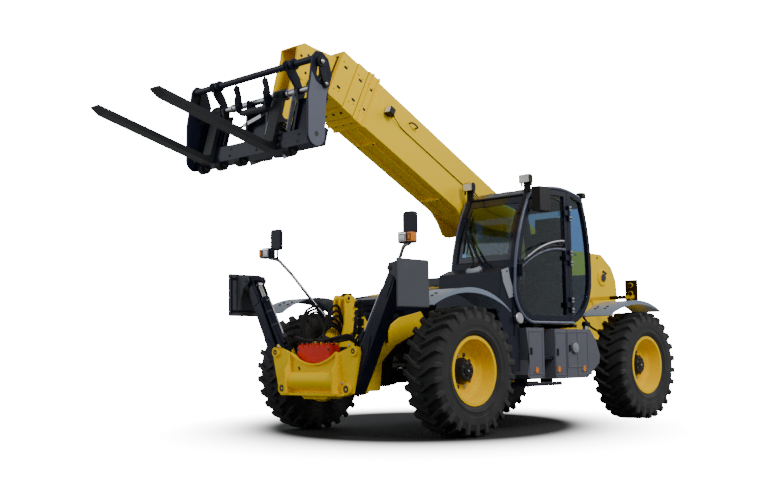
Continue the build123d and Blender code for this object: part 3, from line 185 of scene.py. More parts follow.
class Effects:
    """Node groups that several finishes place, each built once."""

    def __init__(self) -> None:
        """Start with no group built."""
        self.built: dict[str, bpy.types.NodeTree] = {}

    def group(self, name: str) -> bpy.types.NodeTree:
        """The group of that name, built on its first use.

        Args:
            name: "wear", "dirt" or "mottle".

        Returns:
            The node tree.
        """
        if name not in self.built:
            makers = {"wear": self._wear, "dirt": self._dirt, "mottle": self._mottle}
            self.built[name] = makers[name]()
        return self.built[name]

    @staticmethod
    def _start(name: str, inputs: list[tuple], outputs: list[tuple[str, str]]) -> tuple:
        """New group with its sockets.

        Args:
            name: the group's name.
            inputs: name, type and default of each input.
            outputs: name and type of each output.

        Returns:
            Its graph, the sockets that it is given, and the node that takes its results.
        """
        tree = bpy.data.node_groups.new(name, "ShaderNodeTree")
        for label, kind, value in inputs:
            socket = tree.interface.new_socket(label, in_out="INPUT", socket_type=f"NodeSocket{kind}")
            socket.default_value = value
        for label, kind in outputs:
            tree.interface.new_socket(label, in_out="OUTPUT", socket_type=f"NodeSocket{kind}")
        return Graph(tree), tree.nodes.new("NodeGroupInput").outputs, tree.nodes.new("NodeGroupOutput")

    def _mottle(self) -> bpy.types.NodeTree:
        """Slow and fine colour change, and a height for fine grain.

        Returns:
            The group's tree.
        """
        graph, given, result = self._start(
            "mottle", [("Color", "Color", (0.5, 0.5, 0.5, 1)), ("Amount", "Float", 0.2)],
            [("Color", "Color"), ("Height", "Float")],
        )
        slow, fine = graph.noise(2.3, 5.0), graph.noise(60.0, 3.0, seed=3.1)
        both = graph.math("ADD", graph.math("MULTIPLY", slow, 0.75), graph.math("MULTIPLY", fine, 0.25))
        ramp = graph.span(both, 0.35, 0.65, 0.55, 1.25)
        shade = graph.lay(given["Amount"], given["Color"], ramp, "MULTIPLY")
        graph.feed(result, {"Color": shade, "Height": fine})
        return graph.tree

    def _dirt(self) -> bpy.types.NodeTree:
        """Mask of dust and mud, thicker near the ground and on what faces up.

        Returns:
            The group's tree.
        """
        graph, given, result = self._start(
            "dirt", [("Amount", "Float", 0.3), ("Reach", "Float", 1.2)], [("Mask", "Float")]
        )
        place = graph.add("NewGeometry")
        low = graph.span(graph.add("SeparateXYZ", {0: place["Position"]})["Z"], 0.0, given["Reach"], 1.0, 0.12)
        patches = graph.span(graph.noise(7.0, 8.0, seed=9.0), 0.42, 0.62)
        tops = graph.span(graph.add("SeparateXYZ", {0: place["Normal"]})["Z"], 0.4, 1.0, 0.0, 0.5)
        cover = graph.math("ADD", graph.math("MULTIPLY", patches, low), tops)
        graph.feed(result, {"Mask": graph.math("MULTIPLY", cover, given["Amount"])})
        return graph.tree

    def _wear(self) -> bpy.types.NodeTree:
        """Mask of rubbed edges and scratches, and a rounded-edge normal.

        Returns:
            The group's tree.
        """
        graph, given, result = self._start(
            "wear", [("Amount", "Float", 0.4)], [("Mask", "Float"), ("Normal", "Vector")]
        )
        soft = graph.add("Bevel", {"Radius": 0.006}, samples=4)["Normal"]
        flat = graph.add("NewGeometry")["True Normal"]
        edge = graph.span(graph.add("VectorMath", {0: soft, 1: flat}, operation="DOT_PRODUCT")["Value"], 0.99, 0.86)
        broken = graph.span(graph.noise(22.0, 6.0, seed=5.0), 0.46, 0.6)
        scratch = graph.span(graph.noise(9.0, 10.0, (1, 6, 1), 2.0), 0.66, 0.7, 0.0, 0.5)
        mask = graph.math("ADD", graph.math("MULTIPLY", edge, broken), scratch)
        graph.feed(result, {"Mask": graph.math("MULTIPLY", mask, given["Amount"], False), "Normal": soft})
        return graph.tree


EFFECTS = Effects()


def new_material(name: str) -> tuple[bpy.types.Material, Graph, bpy.types.Node]:
    """New material.

    Args:
        name: its name.

    Returns:
        The material, its graph and its shader.
    """
    material = bpy.data.materials.new(name)
    material.use_nodes = True
    return material, Graph(material.node_tree), material.node_tree.nodes["Principled BSDF"]


# ---------------------------------------------------------------- finishes
@dataclass(frozen=True)
class Look:
    """What a piece's surface is made of.

    Attributes:
        name: the material's name, without its prefix.
        color: base colour or tint, linear.
        slot: the record's material slot that pieces of this look belong to.
    """

    name: str
    color: Point
    slot: str

    def material(self) -> bpy.types.Material:
        """The look as a material, built on its first use.

        Returns:
            The material.
        """
        name = f"finish_{self.name}"
        known = bpy.data.materials.get(name)
        if known:
            return known
        material, graph, shader = new_material(name)
        self.paint(graph, shader)
        return material

    def paint(self, graph: Graph, shader: bpy.types.Node) -> None:
        """Feed the material's shader."""
        raise NotImplementedError


@dataclass(frozen=True)
class Finish(Look):
    """A surface: its gloss, dirt and wear.

    Attributes:
        roughness: of the clean surface.
        metallic: 0 or 1.
        mottle: how much the colour varies.
        dirt: how thick dust lies.
        dirt_reach: height in metres where the dust has thinned out.
        dirt_color: colour of the dust.
        wear: how far edges are rubbed.
        wear_color: colour under the paint.
        wear_metallic: whether bare metal shows there.
        coat: clear coat weight.
        shine: level of the mirror-like reflection.
        grain: depth of the fine bump, in metres.
    """

    roughness: float = 0.4
    metallic: float = 0.0
    mottle: float = 0.2
    dirt: float = 0.3
    dirt_reach: float = 1.4
    dirt_color: Point = (0.23, 0.18, 0.125)
    wear: float = 0.3
    wear_color: Point = (0.2, 0.17, 0.15)
    wear_metallic: float = 0.3
    coat: float = 0.0
    shine: float = 0.5
    grain: float = 0.0002

    def paint(self, graph: Graph, shader: bpy.types.Node) -> None:
        """Feed the material's shader.

        Args:
            graph: the material's graph.
            shader: the node that is fed.
        """
        mottle = graph.effect("mottle", {"Color": (*self.color, 1), "Amount": self.mottle})
        wear = graph.effect("wear", {"Amount": self.wear})
        dirt = graph.effect("dirt", {"Amount": self.dirt, "Reach": self.dirt_reach})
        worn = graph.lay(wear["Mask"], mottle["Color"], (*self.wear_color, 1))
        bare = self.wear_metallic and not self.metallic
        bump = {"Distance": self.grain, "Strength": 0.6, "Height": mottle["Height"], "Normal": wear["Normal"]}
        graph.feed(shader, {
            "Base Color": graph.lay(dirt["Mask"], worn, (*self.dirt_color, 1)),
            "Roughness": graph.span(dirt["Mask"], 0.0, 1.0, self.roughness, 0.85),
            "Metallic": graph.math("MULTIPLY", wear["Mask"], self.wear_metallic, False) if bare else self.metallic,
            "Coat Weight": self.coat,
            "Coat Roughness": 0.12,
            "Specular IOR Level": self.shine,
            "Specular Tint": (*(0.1 + 0.9 * c for c in self.color), 1),
            "Normal": graph.add("Bump", bump)["Normal"],
        })


@dataclass(frozen=True)
class Pane(Look):
    """Clear or tinted glass or plastic.

    Attributes:
        roughness: of the clean pane.
        dust: how much dust lies on it.
    """

    roughness: float = 0.03
    dust: float = 0.12

    def paint(self, graph: Graph, shader: bpy.types.Node) -> None:
        """Feed the material's shader.

        Args:
            graph: the material's graph.
            shader: the node that is fed.
        """
        dirt = graph.effect("dirt", {"Amount": self.dust, "Reach": 3.0})["Mask"]
        mottle = graph.effect("mottle", {"Color": (*self.color, 1), "Amount": 0.06})
        graph.feed(shader, {
            "Transmission Weight": 1.0, "Metallic": 0.0, "IOR": 1.45,
            "Base Color": graph.lay(dirt, mottle["Color"], (0.6, 0.57, 0.5, 1)),
            "Roughness": graph.span(dirt, 0.0, 1.0, self.roughness, 0.5),
        })


def lens(name: str, color: Point, roughness: float = 0.18, coat: float = 0.6) -> Finish:
    """Moulded lamp lens, which doesn't wear."""
    return Finish(name, color, "black_plastic", roughness, dirt=0.03, wear=0.0, coat=coat)


YELLOW = Finish("yellow_paint", (1.0, 0.66, 0.0), "yellow_paint", shine=0.2, mottle=0.04, dirt=0.0, wear=0.08)
RIM_YELLOW = Finish("rim_yellow", (1.0, 0.62, 0.0), "yellow_paint", shine=0.2, mottle=0.1, dirt=0.08, wear=0.12)
SLATE = Finish("slate_paint", (0.009, 0.011, 0.025), "dark_paint", 0.34, coat=0.15, shine=0.3, mottle=0.12,
               dirt=0.05, wear=0.12, wear_color=(0.1, 0.11, 0.14))
FRAME_SLATE = Finish("frame_slate", (0.012, 0.013, 0.018), "dark_paint", 0.5, dirt=0.08, wear=0.15)
BOX_SLATE = Finish("box_slate", (0.115, 0.12, 0.15), "grey_paint", 0.38, mottle=0.1, dirt=0.05, wear=0.1)
BOX_GREY = Finish("box_grey", (0.27, 0.29, 0.34), "grey_paint", 0.42, mottle=0.1, dirt=0.06, wear=0.15)
# painted highlight: the cab's dark slate tubes in a lighter slate-blue, as their highlights look
PILLAR_HIGHLIGHT = Finish("pillar_painted_highlight", (0.1, 0.115, 0.17), "dark_paint", 0.28, coat=0.4, mottle=0.08, dirt=0.04,
                wear=0.06, wear_color=(0.15, 0.16, 0.2))
NAVY = Finish("navy_border", (0.006, 0.01, 0.024), "black_plastic", 0.12, coat=0.5, mottle=0.05, dirt=0.0, wear=0.0)
# painted shade: yellow parts given a dark brown, as they look in deep shade
SHADED_POST = Finish("post_painted_shade", (0.028, 0.012, 0.004), "yellow_paint", 0.5, dirt=0.1, wear=0.1)
PLATE_GREY = Finish("plate_grey", (0.115, 0.125, 0.165), "dark_paint", mottle=0.1, dirt=0.04, wear=0.12)
PAD_GREY = Finish("pad_grey", (0.075, 0.08, 0.095), "dark_paint", 0.5, mottle=0.1, dirt=0.06, wear=0.15)
FENDER = Finish("fender_plastic", (0.2, 0.245, 0.33), "grey_plastic", 0.3, coat=0.3, mottle=0.08, dirt=0.05,
                wear=0.05, wear_color=(0.3, 0.33, 0.38), wear_metallic=0.0)
RUBBER = Finish("tyre_rubber", (0.034, 0.034, 0.036), "tyre", 0.62, dirt=0.1, dirt_reach=1.0, wear=0.35,
                dirt_color=(0.2, 0.19, 0.18), wear_color=(0.075, 0.074, 0.074), wear_metallic=0.0, grain=0.0006)
BLACK = Finish("black_plastic", (0.012, 0.012, 0.014), "black_plastic", 0.42, dirt=0.05, wear=0.08,
               wear_color=(0.05, 0.05, 0.05), wear_metallic=0.0)
HOSE = Finish("hose_rubber", (0.01, 0.01, 0.011), "black_plastic", 0.45, dirt=0.06, wear=0.06,
              wear_color=(0.05, 0.05, 0.05), wear_metallic=0.0)
STEEL = Finish("dark_steel", (0.045, 0.046, 0.052), "steel_dark", 0.42, dirt=0.08, wear=0.5,
               wear_color=(0.32, 0.3, 0.28), wear_metallic=0.9)
FORK = Finish("fork_steel", (0.022, 0.023, 0.027), "steel_dark", dirt=0.06, wear=0.4,
              wear_color=(0.14, 0.14, 0.15), wear_metallic=0.7)
BARE = Finish("bare_steel", (0.5, 0.5, 0.52), "rod_chrome", 0.32, metallic=1.0, dirt=0.06, wear=0.1)
CHROME = Finish("rod_chrome", (0.78, 0.79, 0.82), "rod_chrome", 0.1, metallic=1.0, dirt=0.04, wear=0.0)
IRON = Finish("cast_iron", (0.06, 0.058, 0.058), "cast_iron", 0.65, dirt=0.1, wear=0.2, grain=0.0008)
RED = Finish("red_paint", (0.68, 0.022, 0.01), "red_paint", 0.38, coat=0.2, mottle=0.1, dirt=0.05, wear=0.1)
AMBER = lens("amber_lens", (0.85, 0.24, 0.008))
RED_LENS = lens("red_lens", (0.55, 0.01, 0.01))
LENS = lens("clear_lens", (0.8, 0.81, 0.82), 0.12, 0.8)
SEAT = Finish("seat_cloth", (0.022, 0.023, 0.027), "black_plastic", 0.8, dirt=0.04, wear=0.06,
              wear_color=(0.06, 0.06, 0.065), wear_metallic=0.0, grain=0.0012)
SCREEN = Pane("blue_glass", (0.36, 0.6, 0.92), "glass", dust=0.0)
DARK_PANE = Pane("dark_glass", (0.34, 0.46, 0.52), "glass", dust=0.0)

CAD_FINISHES: dict[str, Look] = {
    "yellow_paint": YELLOW, "dark_paint": SLATE, "grey_paint": BOX_GREY, "grey_plastic": FENDER,
    "black_plastic": BLACK, "red_paint": RED, "steel_dark": STEEL, "cast_iron": IRON, "rod_chrome": CHROME,
    "tyre": RUBBER, "glass": SCREEN,
}
NODE_FINISHES: dict[str, Look] = {
    "rim_front_left": RIM_YELLOW, "rim_front_right": RIM_YELLOW, "rim_rear_left": RIM_YELLOW,
    "rim_rear_right": RIM_YELLOW, "main_frame": FRAME_SLATE, "cab_mounts": FRAME_SLATE, "axles": FRAME_SLATE,
    "stabiliser_pad_left": PAD_GREY, "stabiliser_pad_right": PAD_GREY, "fork_left": FORK, "fork_right": FORK,
    "door_glass": DARK_PANE, "side_boxes": BOX_SLATE,
}


# ---------------------------------------------------------------- mesh tools
def arc_through(a: Flat, b: Flat, c: Flat, steps: int = 12) -> list[Flat]:
    """Points of the arc from a through b to c.

    Args:
        a: where it starts.
        b: a point that it passes.
        c: where it ends.
        steps: how many chords.

    Returns:
        Its points, both ends included.
    """
    (ax, az), (bx, bz), (cx, cz) = a, b, c
    d = 2 * (ax * (bz - cz) + bx * (cz - az) + cx * (az - bz))
    sa, sb, sc = ax * ax + az * az, bx * bx + bz * bz, cx * cx + cz * cz
    ox = (sa * (bz - cz) + sb * (cz - az) + sc * (az - bz)) / d
    oz = (sa * (cx - bx) + sb * (ax - cx) + sc * (bx - ax)) / d
    radius = hypot(ax - ox, az - oz)
    start, end = (atan2(z - oz, x - ox) for x, z in (a, c))
    while end - start > pi:
        end -= tau
    while end - start < -pi:
        end += tau
    turns = [start + (end - start) * k / steps for k in range(steps + 1)]
    return [(ox + radius * cos(turn), oz + radius * sin(turn)) for turn in turns]


def bent(points: list[Vector], bend: float) -> list[Vector]:
    """The line through points, its corners rounded.

    Args:
        points: its ends and corners.
        bend: how far before each corner the curve starts.

    Returns:
        The rounded line's points.
    """
    path = [points[0]]
    for before, corner, after in zip(points, points[1:], points[2:]):
        cut = min(bend, (corner - before).length * 0.45, (after - corner).length * 0.45)
        start = corner + (before - corner).normalized() * cut
        end = corner + (after - corner).normalized() * cut
        path += [start.lerp(corner, k / 6).lerp(corner.lerp(end, k / 6), k / 6) for k in range(7)]
    return [*path, points[-1]]


def circle(middle: Vector, side: Vector, other: Vector, radius: float, steps: int) -> list[Vector]:
    """Points round a middle, in the plane of two unit vectors."""
    return [middle + (side * cos(tau * k / steps) + other * sin(tau * k / steps)) * radius for k in range(steps)]


class Piece:
    """One mesh built from several closed forms, each with its finish. Its makers return the piece."""

    def __init__(self, name: str, body: str, finish: Look, bevel: float = 0.0, sharp: float = 32.0) -> None:
        """Start an empty piece.

        Args:
            name: the object's name.
            body: the body it rides on.
            finish: of what is added next.
            bevel: width of the rounded edges, 0 for none.
            sharp: edges over this angle in degrees stay sharp.
        """
        self.name, self.body, self.bevel, self.sharp = name, body, bevel, sharp
        self.mesh = bmesh.new()
        self.finishes: list[Look] = []
        self.use(finish)
        self.slot = finish.slot

    def use(self, finish: Look) -> "Piece":
        """Choose the finish of what is added next.

        Args:
            finish: that finish.

        Returns:
            The piece.
        """
        if finish not in self.finishes:
            self.finishes.append(finish)
        self.index = self.finishes.index(finish)
        return self

    def loft(self, rings: list[list[Vector]], closed: bool = False, smooth: bool = True) -> "Piece":
        """Skin over rings of points of the same count.

        Args:
            rings: each ring's points, in order.
            closed: the last ring joins the first; else a face closes each end.
            smooth: shade smooth.

        Returns:
            The piece.
        """
        count, last = len(rings[0]), len(rings) - 1
        faces = []
        for i in range(last + closed):
            a, b = i * count, ((i + 1) % len(rings)) * count
            faces += [(a + j, a + (j + 1) % count, b + (j + 1) % count, b + j) for j in range(count)]
        if not closed:
            faces += [tuple(reversed(range(count))), tuple(range(last * count, (last + 1) * count))]
        verts = [self.mesh.verts.new(point) for ring in rings for point in ring]
        for face in faces:
            made = self.mesh.faces.new([verts[i] for i in face])
            made.material_index = self.index
            made.smooth = smooth
        return self

    def skin(
        self, outline: Iterable[Flat], stations: Iterable[float], place: Placer, smooth: bool = False
    ) -> "Piece":
        """Loft one outline over stations; place(u, v, station) sets each point."""
        return self.loft([[place(u, v, s) for u, v in outline] for s in stations], smooth=smooth)

    def band(self, middle: Flat, half: Flat, stations: Iterable[Flat], place: Placer) -> "Piece":
        """Closed border round an oblong.

        Args:
            middle: of the oblong.
            half: its half sizes.
            stations: (station, scale) of the border's edges, in order.
            place: place(u, v, station) sets each point.

        Returns:
            The piece.
        """
        (u, v), (du, dv) = middle, half
        rings = [[place(u + a * du * k, v + b * dv * k, s) for a, b in SQUARE] for s, k in stations]
        return self.loft(rings, closed=True, smooth=False)

    def prism(self, outline: list[Vector], along: Vector, smooth: bool = True) -> "Piece":
        """Flat outline pushed along a vector."""
        return self.loft([outline, [p + along for p in outline]], smooth=smooth)

    def plate(self, outline: list[Flat], y: float, thickness: float) -> "Piece":
        """Side plate from (x, z) points; y is its left face and it grows to the right."""
        return self.skin(outline, (y, y - thickness), facing_y, smooth=True)

    def block(self, low: Point, high: Point) -> "Piece":
        """Box between two opposite corners.

        Args:
            low: its lower, rear corner.
            high: its upper, front corner; the two corners' y may be in either order.

        Returns:
            The piece.
        """
        (a, b, c), (d, e, f) = low, high
        b, e = sorted((b, e))
        return self.skin(((a, b), (d, b), (d, e), (a, e)), (c, f), at, smooth=True)

    def bar(self, start: Spot, end: Spot, width: float, height: float, up: Vector = UP) -> "Piece":
        """Flat bar between two points.

        Args:
            start: middle of one end.
            end: middle of the other end.
            width: its size square to up.
            height: its size nearest to up.
            up: the way its height stands.

        Returns:
            The piece.
        """
        start, end = spot(start), spot(end)
        along = (end - start).normalized()
        across = along.cross(up).normalized() * width / 2
        rise = across.cross(along).normalized() * height / 2
        ring = [start + across + rise, start - across + rise, start - across - rise, start + across - rise]
        return self.prism(ring, end - start)

    def lathe(self, origin: Spot, axis: Vector, profile: list[Flat], steps: int, ring: bool = False) -> "Piece":
        """Turned form.

        Args:
            origin: where the profile's first number is 0.
            axis: direction of the profile's first number.
            profile: (along, radius) points.
            steps: segments round the axis.
            ring: the profile closes on itself, so the form has a hole.

        Returns:
            The piece.
        """
        origin, axis = spot(origin), axis.normalized()
        side = axis.orthogonal().normalized()
        other = axis.cross(side)
        return self.loft([circle(origin + axis * a, side, other, max(r, 1e-5), steps) for a, r in profile], ring)

    def rod(self, origin: Spot, axis: Vector, radius: float, length: float, steps: int) -> "Piece":
        """Plain round bar."""
        return self.lathe(origin, axis, [(0, radius), (length, radius)], steps)

    def button(
        self, origin: Spot, axis: Vector, radius: float, side: float, height: float, top: float, steps: int
    ) -> "Piece":
        """Round boss whose side ends in a chamfer.

        Args:
            origin: middle of its foot.
            axis: the way it stands out.
            radius: of its side.
            side: where the chamfer starts.
            height: of the whole boss.
            top: radius of its flat top.
            steps: segments round it.

        Returns:
            The piece.
        """
        return self.lathe(origin, axis, [(0, radius), (side, radius), (height, top), (height, 0)], steps)

    def tube(self, points: Iterable[Spot], radius: float, steps: int = 10, bend: float = 0.0) -> "Piece":
        """Round tube through points, its corners rounded.

        Args:
            points: the corners of its line.
            radius: of the tube.
            steps: segments round it.
            bend: how far before each corner the line starts to turn.

        Returns:
            The piece.
        """
        path = bent([spot(p) for p in points], bend)
        rings = []
        side = (path[1] - path[0]).orthogonal().normalized()
        for i, middle in enumerate(path):
            ahead = (path[min(i + 1, len(path) - 1)] - path[max(i - 1, 0)]).normalized()
            side = (side - ahead * side.dot(ahead)).normalized()
            rings.append(circle(middle, side, ahead.cross(side), radius, steps))
        return self.loft(rings)

    def bolt(self, place: Spot, out: Vector, size: float, washer: bool = True) -> "Piece":
        """Hexagon bolt head standing out from a face.

        Args:
            place: its middle on the face.
            out: the way it stands out.
            size: radius of the hexagon.
            washer: whether a washer lies under it.

        Returns:
            The piece.
        """
        if washer:
            self.lathe(place, out, [(-0.001, size * 1.5), (size * 0.2, size * 1.5), (size * 0.25, size * 1.35)], 14)
        return self.lathe(place, out, [(0, size), (size * 0.75, size), (size * 0.95, size * 0.8)], 6)

    def bolts(self, places: Iterable[Spot], out: Vector, size: float) -> "Piece":
        """The same bolt at several places.

        Args:
            places: as for bolt().
            out: as for bolt().
            size: as for bolt().

        Returns:
            The piece.
        """
        for place in places:
            self.bolt(place, out, size)
        return self

    def done(self, *nodes: str) -> None:
        """Make the object, shade it and set it on its body.

        Args:
            nodes: CAD nodes that it stands for.
        """
        bmesh.ops.recalc_face_normals(self.mesh, faces=self.mesh.faces)
        data = bpy.data.meshes.new(self.name)
        self.mesh.to_mesh(data)
        self.mesh.free()
        for finish in self.finishes:
            data.materials.append(finish.material())
        data.set_sharp_from_angle(angle=radians(self.sharp))
        made = bpy.data.objects.new(self.name, data)
        bpy.context.scene.collection.objects.link(made)
        if self.bevel:
            rounded = made.modifiers.new("rounded", "BEVEL")
            rounded.width = self.bevel
            rounded.segments = 2
            rounded.limit_method = "ANGLE"
            rounded.angle_limit = radians(38)
            rounded.harden_normals = True
        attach(made, self.body)
        if nodes:
            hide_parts(*nodes)
        LOG.info("piece %s: %d faces", self.name, len(data.polygons))


class Assembly:
    """Pieces of one sub-assembly, made in the order of its steps."""

    def steps(self) -> Steps:
        """What makes the pieces, in order."""
        raise NotImplementedError

    def build(self) -> None:
        """Make every piece."""
        for step in self.steps():
            step()


# ---------------------------------------------------------------- wheels
class Corner(Enum):
    """The four wheels: name, sign of x, sign of y."""

    FRONT_LEFT = ("front_left", 1, 1)
    FRONT_RIGHT = ("front_right", 1, -1)
    REAR_LEFT = ("rear_left", -1, 1)
    REAR_RIGHT = ("rear_right", -1, -1)


class Wheel(Assembly):
    """Tyre with staggered chevron lugs, hub and valve."""

    bead = 0.3052              # radius where the tyre sits on the rim
    lugs = 26                  # on each side of the tread
    lead = 0.17                # angle by which a lug's inner end leads its shoulder

    def __init__(self, corner: Corner) -> None:
        """Place the wheel.

        Args:
            corner: which of the four.
        """
        self.name, ahead, self.out = corner.value
        self.middle = at(ahead * AXLE_X, self.out * WHEEL_Y, AXLE_Z)
        self.axis = LEFT * self.out
        self.body = f"wheel_{self.name}"

    def on_tread(self, angle: float, across: float, radius: float) -> Vector:
        """Point on the wheel: angle from the top towards the front, across outward, radius."""
        return self.middle + Vector((radius * sin(angle), self.out * across, radius * cos(angle)))

    def lug_ring(self, angle: float, flank: list[Point]) -> list[Vector]:
        """A lug's cross-section at an angle, from its near flank's (turn, across, radius) points."""
        far = [(-turn, across, radius) for turn, across, radius in reversed(flank)]
        return [self.on_tread(angle + turn, across, radius) for turn, across, radius in flank + far]

    def tyre(self) -> None:
        """Carcass with ringed sidewalls, and lugs that fold over its shoulders."""
        piece = Piece(f"tread_{self.name}", self.body, RUBBER, sharp=28)
        wall = [
            (0.15, self.bead), (0.163, 0.312), (0.166, 0.336), (0.174, 0.342), (0.179, 0.352), (0.187, 0.358),
            (0.19, 0.372), (0.1965, 0.378), (0.1975, 0.392), (0.1945, 0.397), (0.1945, 0.43), (0.1975, 0.434),
            (0.1985, 0.47), (0.1975, 0.505), (0.1945, 0.51), (0.1925, 0.535), (0.184, 0.56), (0.165, 0.574),
            (0.12, 0.58), (0.05, 0.583),
        ]
        piece.lathe(self.middle, LEFT, wall + [(-a, r) for a, r in reversed(wall)], 104, ring=True)
        tread = (                      # across, share of the lead, half angle of foot and top, radii
            (-0.012, 1.04, 0.03, 0.016, 0.575, 0.6185), (0.035, 0.86, 0.04, 0.026, 0.575, 0.6215),
            (0.07, 0.6, 0.044, 0.03, 0.573, 0.6215), (0.105, 0.42, 0.046, 0.032, 0.571, 0.6215),
            (0.15, 0.1, 0.052, 0.038, 0.566, 0.62), (0.184, 0.0, 0.056, 0.042, 0.552, 0.615),
        )
        shoulder = ((0.1985, 0.186, 0.52, 0.603, 0.04), (0.1995, 0.19, 0.5, 0.56, 0.032))
        pitch = tau / self.lugs
        for side in (1, -1):
            for i in range(self.lugs):
                middle = i * pitch + (pitch / 2 if side < 0 else 0.0)
                rings = [
                    self.lug_ring(middle + self.lead * share, [
                        (-foot, side * across, low), (-top - 0.004, side * across, high - 0.006),
                        (-top + 0.004, side * across, high),
                    ])
                    for across, share, foot, top, low, high in tread
                ]
                # the shoulder's outer end runs down the sidewall
                rings += [
                    self.lug_ring(middle, [
                        (-half - 0.012, side * foot, low), (-half, side * across, low + 0.004),
                        (-half, side * across, high),
                    ])
                    for across, foot, low, high, half in shoulder
                ]
                piece.loft(rings, smooth=False)
        piece.done(f"tyre_{self.name}")

    def hub(self) -> None:
        """Black hub cover with its ribs, plug and wheel nuts."""
        piece = Piece(f"hub_cover_{self.name}", self.body, BLACK)
        piece.lathe(self.middle, self.axis, [
            (-0.004, 0.128), (0.02, 0.128), (0.03, 0.118), (0.076, 0.098), (0.084, 0.086), (0.084, 0.05),
            (0.092, 0.046), (0.094, 0.0),
        ], 48)
        for i, nut in enumerate(circle(self.middle + self.axis * 0.0005, *self.wheel_plane(pi / 10), 0.158, 10)):
            piece.use(STEEL if i % 5 else BARE).bolt(nut, self.axis, 0.014)
        inner = circle(self.middle + self.axis * 0.0845, *self.wheel_plane(), 0.07, 6)
        piece.use(STEEL).bolts(inner, self.axis, 0.009)
        piece.use(BARE).bolt(self.middle + self.axis * 0.0935, self.axis, 0.012, washer=False).done()

    @staticmethod
    def wheel_plane(turn: float = 0.0) -> tuple[Vector, Vector]:
        """Two unit vectors in the wheel's plane, the first one that far from the top."""
        return Vector((sin(turn), 0, cos(turn))), Vector((cos(turn), 0, -sin(turn)))

    def valve(self) -> None:
        """Tyre valve standing in the rim's dish."""
        root = self.on_tread(2.2, 0.07, 0.2865)
        line = [root + Vector((0, self.out * y, z)) for y, z in ((0, 0), (0.03, 0.004), (0.06, 0.012))]
        Piece(f"valve_{self.name}", self.body, BLACK).tube(line, 0.005, 8, 0.02).done()

    def steps(self) -> Steps:
        """Its makers, in order."""
        return self.tyre, self.hub, self.valve


